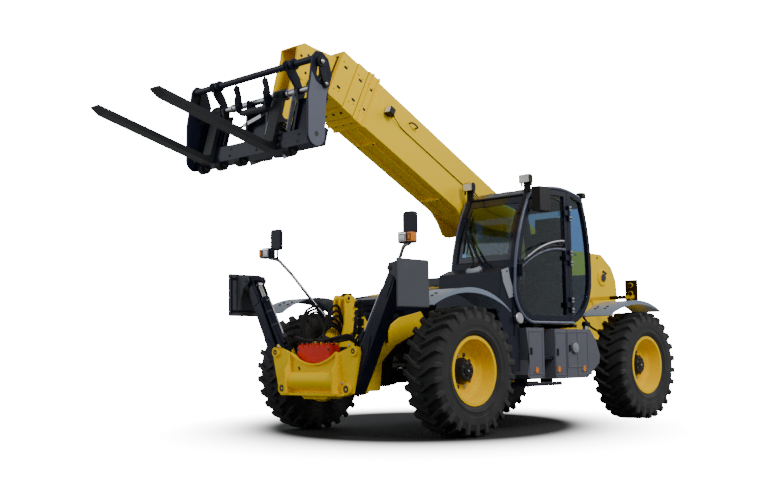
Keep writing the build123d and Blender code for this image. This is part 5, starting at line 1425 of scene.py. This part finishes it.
    def door(self) -> None:
        """Brow strip, grab bar, seals, lock and mirror on the door."""
        brow = arc_through((0.69, 1.64), (0.33, 1.8275), (-0.135, 1.8875), 12)
        # the brow strip is in the same lighter slate, a painted highlight
        Piece("door_brow", "door", PILLAR_HIGHLIGHT, sharp=50).tube([(x, 1.116, z) for x, z in brow], 0.0095, 10).done()
        bar = arc_through((0.6, 1.775), (0.3, 1.91), (-0.06, 1.975), 10)
        (x0, z0), (x1, z1) = bar[0], bar[-1]
        line = [(x0 + 0.02, 1.114, z0 - 0.035), *((x, 1.158, z) for x, z in bar), (x1 - 0.02, 1.114, z1 - 0.03)]
        Piece("door_grab_bar", "door", BARE, sharp=50).tube(line, 0.0105, 12, 0.02).done()
        upper = [
            *arc_through((-0.11, 2.415), (0.15, 2.437), (0.408, 2.375), 8),
            *arc_through((0.455, 2.3), (0.6, 1.995), (0.655, 1.735), 8),
            *arc_through((0.64, 1.69), (0.3, 1.862), (-0.11, 1.928), 8),
        ]
        piece = Piece("door_seals", "door", BLACK, sharp=50)
        piece.tube([(x, 1.0935, z) for x, z in [*upper, upper[0]]], 0.0085, 8, 0.02)
        piece.block((0.7, 1.14, 1.565), (0.722, 1.158, 1.69))
        piece.button((0.711, 1.1135, 1.725), LEFT, 0.018, 0.01, 0.012, 0.014, 20).done()
        piece = Piece("door_mirror", "door", BLACK, bevel=0.012)
        piece.block((0.369, 1.189, 2.244), (0.561, 1.291, 2.496))
        piece.use(CHROME).block((0.367, 1.204, 2.268), (0.3692, 1.276, 2.472)).use(BLACK)
        for z in (2.283, 2.398):
            piece.bolt((0.455, 1.1895, z), AHEAD, 0.007).tube([(0.455, 1.112, z), (0.455, 1.192, z)], 0.012, 12)
        piece.done()

    def hinges(self) -> None:
        """Light hinge blocks with their bolts on the rear post."""
        piece = Piece("hinge_blocks", "chassis", BOX_GREY, bevel=0.003)
        for z in (1.29, 1.8, 2.29):
            for low in (z - 0.084, z + 0.028):
                piece.use(BOX_GREY).block((-0.262, 1.113, low + 0.002), (-0.216, 1.132, low + 0.054))
                piece.use(STEEL).bolts([(x, 1.1315, low + 0.028) for x in (-0.252, -0.228)], LEFT, 0.007)
        piece.done()

    def cowl(self) -> None:
        """Light corner panel, filler cap, seams and bolts on the cowl ahead of the cab."""
        panel = [(0.985, 1.618), (0.868, 1.648), (0.85, 1.56), (0.766, 1.365), (0.868, 1.335), (0.958, 1.5)]
        piece = Piece("cowl_corner_panel", "chassis", BOX_GREY, bevel=0.003).plate(panel, 1.098, 0.009)
        piece.use(STEEL).bolts([(0.8, 1.0975, 1.375), (0.895, 1.0975, 1.61)], LEFT, 0.008).done()
        piece = Piece("cowl_fittings", "chassis", BARE, sharp=32)
        piece.lathe((0.742, 1.0895, 1.13), Vector((0, 1, 0.15)), [
            (0, 0.046), (0.014, 0.046), (0.014, 0.06), (0.042, 0.06), (0.05, 0.052), (0.05, 0),
        ], 32)
        hose = [(0.792, 1.092, 1.3), (0.8, 1.094, 1.18), (0.775, 1.094, 1.06), (0.79, 1.092, 0.96)]
        piece.use(BLACK).tube(hose, 0.007, 8, 0.05).use(SLATE)
        seam = ((0.975, 1.0905, 1.61), (1.0, 1.0905, 1.42), (1.052, 1.0905, 1.24))
        for start, end in zip(seam, seam[1:]):
            piece.bar(start, end, 0.01, 0.004, LEFT)
        places = [(0.945, y, 1.6275) for y in (0.4, 0.6, 0.8, 1.0)]
        piece.use(STEEL).bolts(places, Vector((0.34, 0, 0.94)), 0.008).done()

    def inside(self) -> None:
        """Levers, instrument pod, knob and seat belt, and the ledge under the screen."""
        piece = Piece("cab_controls", "chassis", BLACK, bevel=0.003)
        y = 0.375
        for x, top in ((0.02, RED), (0.08, BLACK)):
            piece.use(BLACK).tube([(x, y, 1.6), (x + 0.01, y, 1.68), (x + 0.03, y, 1.76)], 0.007, 8)
            piece.use(top).lathe((x + 0.027, y, 1.75), Vector((0.2, 0, 1)), [
                (0, 0.01), (0.012, 0.02), (0.04, 0.02), (0.05, 0.01), (0.05, 0),
            ], 18)
        piece.use(BLACK).loft([
            [at(x, y, z) for y, z in ((0.57, 1.6), (0.79, 1.6), (0.79, 1.74 - d), (0.57, 1.74 - d))]
            for x, d in ((0.5, 0.05), (0.57, 0.0))
        ], smooth=False)
        knob = [(0, 0.014), (0.034, 0.02), (0.05, 0.014), (0.052, 0)]
        piece.lathe((0.37, 0.83, 1.7), Vector((-0.45, 0, 0.89)), knob, 18).use(SEAT)
        for y in (0.5, 0.86):
            piece.tube([(-0.4, y, 2.1), (-0.325, y, 1.62), (-0.26, y, 1.535), (0.1, y, 1.535)], 0.022, 12, 0.08)
        piece.done()
        Piece("cab_ledge", "chassis", SLATE, bevel=0.006).block((0.575, 0.33, 1.56), (0.69, 1.06, 1.6)).done()

    def steps(self) -> Steps:
        """Its makers, in order."""
        return (self.frame, self.screen_border, self.wiper, self.roof, self.lamps, self.door, self.hinges,
                self.cowl, self.inside)


# ---------------------------------------------------------------- lamps, fenders, boxes and step
class Outside(Assembly):
    """What hangs on the chassis outside: lamps, fenders' bolts, boxes, step and tail."""


    @staticmethod
    def door_seam(piece: Piece, low: Flat, high: Flat, depths: tuple[float, float], rims: Flat) -> None:
        """Raised seam of a box's door.

        Args:
            piece: where it goes.
            low: (x, z) of its lower corner.
            high: (x, z) of its upper corner.
            depths: y of its foot and of its face.
            rims: scale of the inner edge at the face and at the foot.
        """
        middle = ((low[0] + high[0]) / 2, (low[1] + high[1]) / 2)
        half = ((high[0] - low[0]) / 2, (high[1] - low[1]) / 2)
        foot, face = depths
        piece.band(middle, half, ((foot, 1.0), (face, 1.0), (face, rims[0]), (foot, rims[1])), facing_y)

    def headlamps(self) -> None:
        """Lenses, indicators, shells, mirrors' glass and the bright arms."""
        for name, sign in SIDES:
            piece = Piece(f"headlamp_{name}", "chassis", LENS, sharp=35)
            for y, half_w, half_h, x, finish in (
                (0.975, 0.044, 0.031, 2.3205, LENS), (1.058, 0.0185, 0.029, 2.3145, AMBER),
            ):
                rim = ((x - 0.001, 1.0), (x + 0.005, 1.0), (x + 0.005, 0.86), (x - 0.001, 0.84))
                piece.use(BLACK).band((sign * y, 1.862), (half_w, half_h), rim, facing_x)
                piece.use(finish).loft([
                    [at(x + d, sign * y + a * half_w * k, 1.862 + b * half_h * k) for a, b in SQUARE]
                    for d, k in ((-0.001, 0.86), (0.003, 0.82), (0.0065, 0.5))
                ])
            shell = [(x, sign * y) for x, y in ((2.236, 0.922), (2.3195, 0.922), (2.3195, 1.0305), (2.236, 1.0305))]
            piece.use(BLACK).skin(shell, (1.816, 1.918), at)
            piece.use(CHROME).loft([
                [at(x, sign * 0.976 + a * half_w, 1.867 + b * half_h) for a, b in SQUARE]
                for x, half_w, half_h in ((2.3185, 0.047, 0.043), (2.3235, 0.045, 0.041))
            ], smooth=False)
            side = [(x, sign * y) for x, y in ((2.244, 1.031), (2.3155, 1.031), (2.3155, 1.086), (2.244, 1.086))]
            piece.use(AMBER).skin(side, (1.824, 1.908), at)
            piece.block((2.245, sign * 1.0845, 1.832), (2.292, sign * 1.0885, 1.884)).use(CHROME)
            piece.block((2.1578, sign * 0.955 - 0.058, 1.915), (2.1605, sign * 0.955 + 0.058, 2.105)).done()
            piece = Piece(f"lamp_tube_{name}", "chassis", BARE, sharp=60)
            arm = ((1.975, 0.438, 1.15), (1.975, 0.438, 1.18), (2.15, 0.76, 1.64),
                   (2.215, 0.9, 1.8), (2.24, 1.0, 1.813))
            cable = ((1.985, 0.46, 1.15), (2.06, 0.575, 1.38), (2.15, 0.74, 1.61),
                     (2.205, 0.88, 1.77), (2.234, 0.96, 1.8))
            piece.tube([(x, sign * y, z) for x, y, z in arm], 0.0168, 14, 0.045).use(BLACK)
            piece.button((1.975, sign * 0.438, 1.128), UP, 0.03, 0.04, 0.052, 0.022, 24)
            piece.tube([(x, sign * y, z) for x, y, z in cable], 0.006, 8, 0.05).done()

    def fender_bolts(self) -> None:
        """Domed bolts near the fenders' ends, and their stays' brackets."""
        piece = Piece("fender_bolts", "chassis", STEEL, sharp=35)
        dome = [(0, 0.016), (0.003, 0.016), (0.008, 0.01), (0.01, 0)]
        for axle, *ends in (
            (AXLE_X, (0.59, 1.235), (0.1, 1.405), (-0.56, 1.195)),
            (-AXLE_X, (0.794, 1.185), (0.26, 1.362), (-0.325, 1.25)),
        ):
            path = arc_through(*((axle + x, z) for x, z in ends), 20)
            for (x0, z0), (x1, z1) in zip(path[3:5], path[4:6]):
                out = Vector((z0 - z1, 0, x1 - x0)).normalized()
                out = out if out.z > 0 else -out
                for y in (0.95, 1.08, -0.95, -1.08):
                    piece.lathe(at(x0, y, z0) + out * 0.0045, out, dome, 18)
        piece.use(BLACK)
        for stay in (
            ((-0.83, 0.86, 1.19), (-0.815, 0.9, 1.15), (-0.8, 0.98, 1.06), (-0.8, 1.1, 1.0), (-0.8, 1.135, 1.0)),
            ((-0.83, -0.86, 1.19), (-0.815, -0.88, 1.15), (-0.8, -0.9, 1.1)),
        ):
            piece.tube(stay, 0.012, 12, 0.05)
        piece.done()

    def boxes(self) -> None:
        """Seams, latches, reflectors and filler on the boxes under the cab."""
        piece = Piece("box_fittings", "chassis", BOX_SLATE, bevel=0.003)
        face = 1.15
        for x0, x1, z0, z1 in ((0.385, 0.625, 0.56, 1.015), (-0.05, 0.15, 0.54, 1.005), (-0.47, -0.075, 0.62, 1.005)):
            self.door_seam(piece.use(BOX_SLATE), (x0, z0), (x1, z1), (face - 0.001, face + 0.004), (0.93, 0.92))
            z = (z0 + z1) / 2
            piece.use(BLACK).block((x1 - 0.05, face + 0.001, z - 0.02), (x1 - 0.022, face + 0.01, z + 0.05))
        piece.use(AMBER)
        for x in (0.5, 0.1, -0.38):
            oval = [(x + 0.026 * cos(tau * k / 28), 0.605 + 0.034 * sin(tau * k / 28)) for k in range(28)]
            piece.skin(oval, (1.1548, 1.1588), facing_y, smooth=True)
        piece.use(BOX_GREY).lathe((-0.2, 1.1655, 0.83), LEFT, [
            (0, 0.055), (0.008, 0.055), (0.012, 0.05), (0.012, 0.03), (0.018, 0.028), (0.018, 0),
        ], 32)
        piece.use(BARE).tube([(-0.555, 1.055, 0.88), (-0.59, 1.055, 1.072)], 0.0348, 24)
        piece.use(BLACK).lathe((-0.588, 1.055, 1.066), Vector((-0.2, 0, 0.98)), [
            (0, 0.0452), (0.012, 0.0475), (0.036, 0.0475), (0.048, 0.04), (0.05, 0),
        ], 20)
        places = [(x, face - 0.0005, z) for x, z in ((0.375, 0.545), (0.64, 0.545), (0.14, 0.525), (-0.44, 0.525))]
        piece.use(STEEL).bolts(places, LEFT, 0.008).done()

    def low_step(self) -> None:
        """Toothed edges of the low step and rubber nosing of the upper one."""
        piece = Piece("step_edges", "chassis", STEEL, bevel=0.002)
        for y in (0.802, 1.108):
            piece.block((0.0, y, 0.464), (0.62, y + 0.01, 0.476))
        foot = ((0, 0), (0.011, 0), (0.011, 0.009), (0, 0.009))
        tip = ((0.004, 0.001), (0.007, 0.001), (0.007, 0.008), (0.004, 0.008))
        for i in range(30):
            for y in (0.8025, 1.1085):
                x = 0.006 + 0.0206 * i
                piece.loft([[at(x + d, y + e, z) for d, e in ring] for ring, z in ((foot, 0.4755), (tip, 0.483))],
                           smooth=False)
        piece.use(BLACK).block((0.162, 1.122, 0.738), (0.355, 1.1335, 0.746))
        for y in (0.86, 0.93, 1.0, 1.07):
            piece.block((0.172, y, 0.7395), (0.345, y + 0.022, 0.745))
        piece.done()

    def engine_side(self) -> None:
        """Louvre blades, seams, bolts and latch of the engine's housing."""
        piece = Piece("louvre_blades", "chassis", BLACK, sharp=40)
        for i in range(10):
            z = 0.66 + 0.052 * i
            blade = [(y, z + d) for y, d in ((-1.108, 0.01), (-1.119, -0.002), (-1.119, -0.006), (-1.108, 0.004))]
            for ends in ((0.362, 0.748), (-0.022, 0.262)):
                piece.skin(blade, ends, facing_x)
        piece.done()
        piece = Piece("pod_fittings", "chassis", SLATE, bevel=0.003)
        for x0, x1 in ((0.335, 0.775), (-0.05, 0.29)):
            self.door_seam(piece, (x0, 0.615), (x1, 1.175), (-1.1195, -1.124), (0.955, 0.95))
        places = [(x, -1.1195, z) for x in (0.32, 0.8) for z in (0.62, 0.9, 1.18)]
        piece.use(STEEL).bolts(places, -LEFT, 0.009)
        piece.use(BLACK).block((-0.6, -1.128, 1.1), (-0.56, -1.119, 1.22)).done()

    def hood(self) -> None:
        """Ribs, handles and hinge bolts that follow the hood's slope."""
        piece = Piece("hood_fittings", "hood", YELLOW, bevel=0.004)
        slope = (1.38 - 1.585) / 1.42

        def top(x: float) -> float:
            """Height of the hood's sloping top."""
            return 1.585 + (x + 0.11) * slope

        rib = ((-0.04, -0.002), (-0.028, 0.01), (0.028, 0.01), (0.04, -0.002))
        for y in (-0.46, -0.66, -0.86):
            piece.loft([[at(x, y + d, top(x) + h) for d, h in rib] for x in (0.02, 0.86)])
        piece.use(BLACK)
        for x in (0.1, 0.66):
            corners = ((x, -1.119), (x, -1.142), (x + 0.11, -1.142), (x + 0.11, -1.119))
            piece.tube([(a, y, top(a) - 0.036) for a, y in corners], 0.007, 8, 0.015)
        places = [(x - 0.005, -0.338, top(x) + 0.005) for x in (0.668, 1.198)]
        piece.use(STEEL).bolts(places, Vector((-slope, 0, 1)), 0.007).done()

    def tail(self) -> None:
        """Tail lamps, bracket lamps, and the brackets' posts at the rear, dark brown as painted shade."""
        piece = Piece("tail_lamps", "chassis", RED_LENS, bevel=0.002)
        for _, sign in SIDES:
            for y0, y1, finish in ((0.37, 0.412, AMBER), (0.416, 0.47, RED_LENS), (0.474, 0.51, LENS)):
                piece.use(finish).block((-2.64, sign * y0, 0.872), (-2.6265, sign * y1, 0.928))
            for z, finish in ((1.38, RED_LENS), (1.48, RED_LENS), (1.58, AMBER)):
                piece.use(BLACK).button((-1.8985, sign * 0.86, z), AHEAD, 0.026, 0.006, 0.008, 0.02, 24)
                lamp = [(0, 0.03), (0.008, 0.03), (0.014, 0.022), (0.016, 0)]
                piece.use(finish).lathe((-1.9345, sign * 0.86, z), -AHEAD, lamp, 28)
        piece.done()
        # painted shade: the yellow posts are dark brown, and a brown box covers each post's arm, as both look in deep
        # shade
        piece = Piece("lamp_posts", "chassis", SHADED_POST, bevel=0.003)
        for _, sign in SIDES:
            piece.block((-1.936, sign * 0.78, 1.314), (-1.908, sign * 0.94, 1.646))
            # box over the post's arm, in the same painted shade
            piece.block((-1.9415, sign * 0.56, 1.4185), (-1.9035, sign * 0.79, 1.4615))
        piece.done()

    def tower(self) -> None:
        """Rings, pin ends, keepers and bolts at the boom's pivot."""
        piece = Piece("tower_fittings", "chassis", YELLOW, bevel=0.003)
        x, z = PIVOT
        for _, sign in SIDES:
            out = LEFT * sign
            piece.use(YELLOW).lathe((x, sign * 0.2775, z), out, [
                (0, 0.105), (0.014, 0.105), (0.018, 0.098), (0.018, 0.06), (0.0, 0.0555),
            ], 44, ring=True)
            piece.use(STEEL).button((x, sign * 0.3025, z), out, 0.05, 0.006, 0.01, 0.044, 32)
            piece.bar((x - 0.075, sign * 0.297, z + 0.052), (x + 0.01, sign * 0.297, z + 0.082), 0.03, 0.01, out)
            piece.bolts([(a, sign * 0.302, b) for a, b in ((-2.262, 1.778), (-2.202, 1.8))], out, 0.01)
            plate = ((-1.45, 1.95), (-1.6, 1.98), (-2.1, 1.97), (-1.44, 1.55))
            piece.bolts([(a, sign * 0.2775, b) for a, b in plate], out, 0.011)
        piece.done()

    def under(self) -> None:
        """Drive shafts, gearbox, differential covers and steering cylinders on the axles."""
        piece = Piece("drive_line", "chassis", IRON, sharp=32)
        for end, middle in ((-1.33, -0.55), (1.33, 0.55)):
            piece.tube([(end, 0, 0.622), (middle, 0, 0.6)], 0.038, 20)
        piece.block((-0.55, -0.15, 0.5), (0.55, 0.15, 0.67))
        for sign in (1, -1):
            cover = circle(at(sign * (AXLE_X + 0.1495), 0, AXLE_Z), LEFT, UP, 0.128, 12)
            piece.use(STEEL).bolts(cover, AHEAD * sign, 0.009)
            x, z = sign * (AXLE_X + 0.13), AXLE_Z + 0.02
            piece.use(SLATE).rod((x, -0.36, z), LEFT, 0.034, 0.72, 22)
            piece.use(CHROME).rod((x, -0.56, z), LEFT, 0.018, 1.12, 18)
        piece.done()

    def steps(self) -> Steps:
        """Its makers, in order."""
        return (self.headlamps, self.fender_bolts, self.boxes, self.low_step, self.engine_side, self.hood,
                self.tail, self.tower, self.under)


def dress_nodes() -> None:
    """Give every CAD node its finish, by its own name or by its slot."""
    slots = {part["node"]: part["material_slot"] for part in frame["record"]["subparts"]}
    for name, node in frame["nodes"].items():
        finish = NODE_FINISHES.get(name, CAD_FINISHES[slots[name]])
        for slot in node.material_slots:
            slot.link = "OBJECT"
            slot.material = finish.material()
    LOG.info("dressed %d nodes", len(frame["nodes"]))


# ---------------------------------------------------------------- floor, lights and camera
class Studio(Assembly):
    """Pale floor with a painted shadow under the machine, soft lights and the camera."""

    eye = (9.441, 7.52, 0.808)
    heading = radians(-136.75)  # the way it looks along the ground, from +X
    pitch = radians(5.55)
    roll = radians(-0.81)
    lens = 48.65               # focal length on a sensor 36 mm wide
    backdrop = 24.0            # how bright the floor and sky look to the camera

    @staticmethod
    def place(name: str, data: bpy.types.ID) -> bpy.types.Object:
        """Put a new object in the scene.

        Args:
            name: its name.
            data: its mesh, light or camera.

        Returns:
            The object.
        """
        made = bpy.data.objects.new(name, data)
        bpy.context.scene.collection.objects.link(made)
        return made

    def floor(self) -> None:
        """Pale floor that glows to the camera, with a painted shadow under the machine."""
        data = bpy.data.meshes.new("floor")
        data.from_pydata([(60 * x, 60 * y, 0) for x, y in SQUARE], [], [(0, 1, 2, 3)])
        material, graph, shader = new_material("pale_floor_painted_shadow")
        # painted shadow: an ellipse under the machine, dark in its middle and fading to the pale floor at its edge
        shadow_spot = graph.add("Mapping", {
            "Location": (MIDDLE + 0.5, -0.45, 0), "Rotation": (0, 0, self.heading), "Scale": (5.2, 3.7, 1),
            "Vector": graph.add("TexCoord")["Object"],
        }, vector_type="TEXTURE")["Vector"]
        away = graph.add("VectorMath", {0: shadow_spot}, operation="LENGTH")["Value"]
        edges = {"From Min": 0.42, "From Max": 1.0, "Value": away}
        shadow_fade = graph.add("MapRange", edges, interpolation_type="SMOOTHSTEP")["Result"]
        # the painted shadow dims the glow that the camera sees and darkens the floor's colour
        seen = graph.math("MULTIPLY", graph.add("LightPath")["Is Camera Ray"], shadow_fade, False)
        graph.feed(shader, {
            "Base Color": graph.lay(shadow_fade, (0.012, 0.012, 0.013, 1), (0.42, 0.42, 0.42, 1)),
            "Emission Color": (1, 1, 1, 1),
            "Emission Strength": graph.math("MULTIPLY", seen, self.backdrop, False),
            "Roughness": 0.8,
        })
        data.materials.append(material)
        self.place("floor", data)

    def lights(self) -> None:
        """Three soft square lights."""
        for name, place, size, power, color in (
            ("key", (2.5, 9.5, 9.0), 3.0, 760, (1.0, 0.98, 0.94)),
            ("fill", (9.0, -7.0, 5.0), 7.0, 200, (0.92, 0.96, 1.0)),
            ("rear", (-8.0, 5.0, 7.0), 6.0, 300, (1, 1, 1)),
        ):
            data = bpy.data.lights.new(name, "AREA")
            data.shape = "SQUARE"
            data.size, data.energy, data.color = size, power, color
            made = self.place(name, data)
            made.location = place
            made.rotation_euler = (Vector((0, 0, 1.5)) - Vector(place)).to_track_quat("-Z", "Y").to_euler()

    def sky(self) -> None:
        """Even pale light from all round, much brighter to the camera alone."""
        world = bpy.data.worlds.new("studio")
        world.use_nodes = True
        graph = Graph(world.node_tree)
        strength = graph.span(graph.add("LightPath")["Is Camera Ray"], 0.0, 1.0, 0.48, self.backdrop)
        back = world.node_tree.nodes["Background"]
        graph.feed(back, {"Color": (0.95, 0.98, 1.0, 1), "Strength": strength})
        bpy.context.scene.world = world

    def camera(self) -> None:
        """Camera at the height and side that show the cab, front legs and raised boom."""
        ahead = Vector((cos(self.pitch) * cos(self.heading), cos(self.pitch) * sin(self.heading), sin(self.pitch)))
        right = ahead.cross(UP).normalized()
        up = right.cross(ahead)
        side = right * cos(self.roll) + up * sin(self.roll)
        top = up * cos(self.roll) - right * sin(self.roll)
        data = bpy.data.cameras.new("camera")
        data.lens, data.sensor_width, data.clip_end = self.lens, 36.0, 200
        made = self.place("camera", data)
        turn = Matrix((side, top, -ahead)).transposed().to_4x4()
        made.matrix_world = Matrix.Translation(at(*self.eye)) @ turn
        bpy.context.scene.camera = made

    def steps(self) -> Steps:
        """Its makers, in order."""
        return self.floor, self.lights, self.sky, self.camera


def main() -> None:
    """Build every sub-assembly, the floor, the lights and the camera."""
    dress_nodes()
    wheels = [Wheel(corner) for corner in Corner]
    stabilisers = [Stabiliser(name, sign) for name, sign in SIDES]
    for assembly in (*wheels, FrontEnd(), *stabilisers, Boom(), Carriage(), Cab(), Outside(), Studio()):
        assembly.build()


if __name__ == "__main__":
    main()
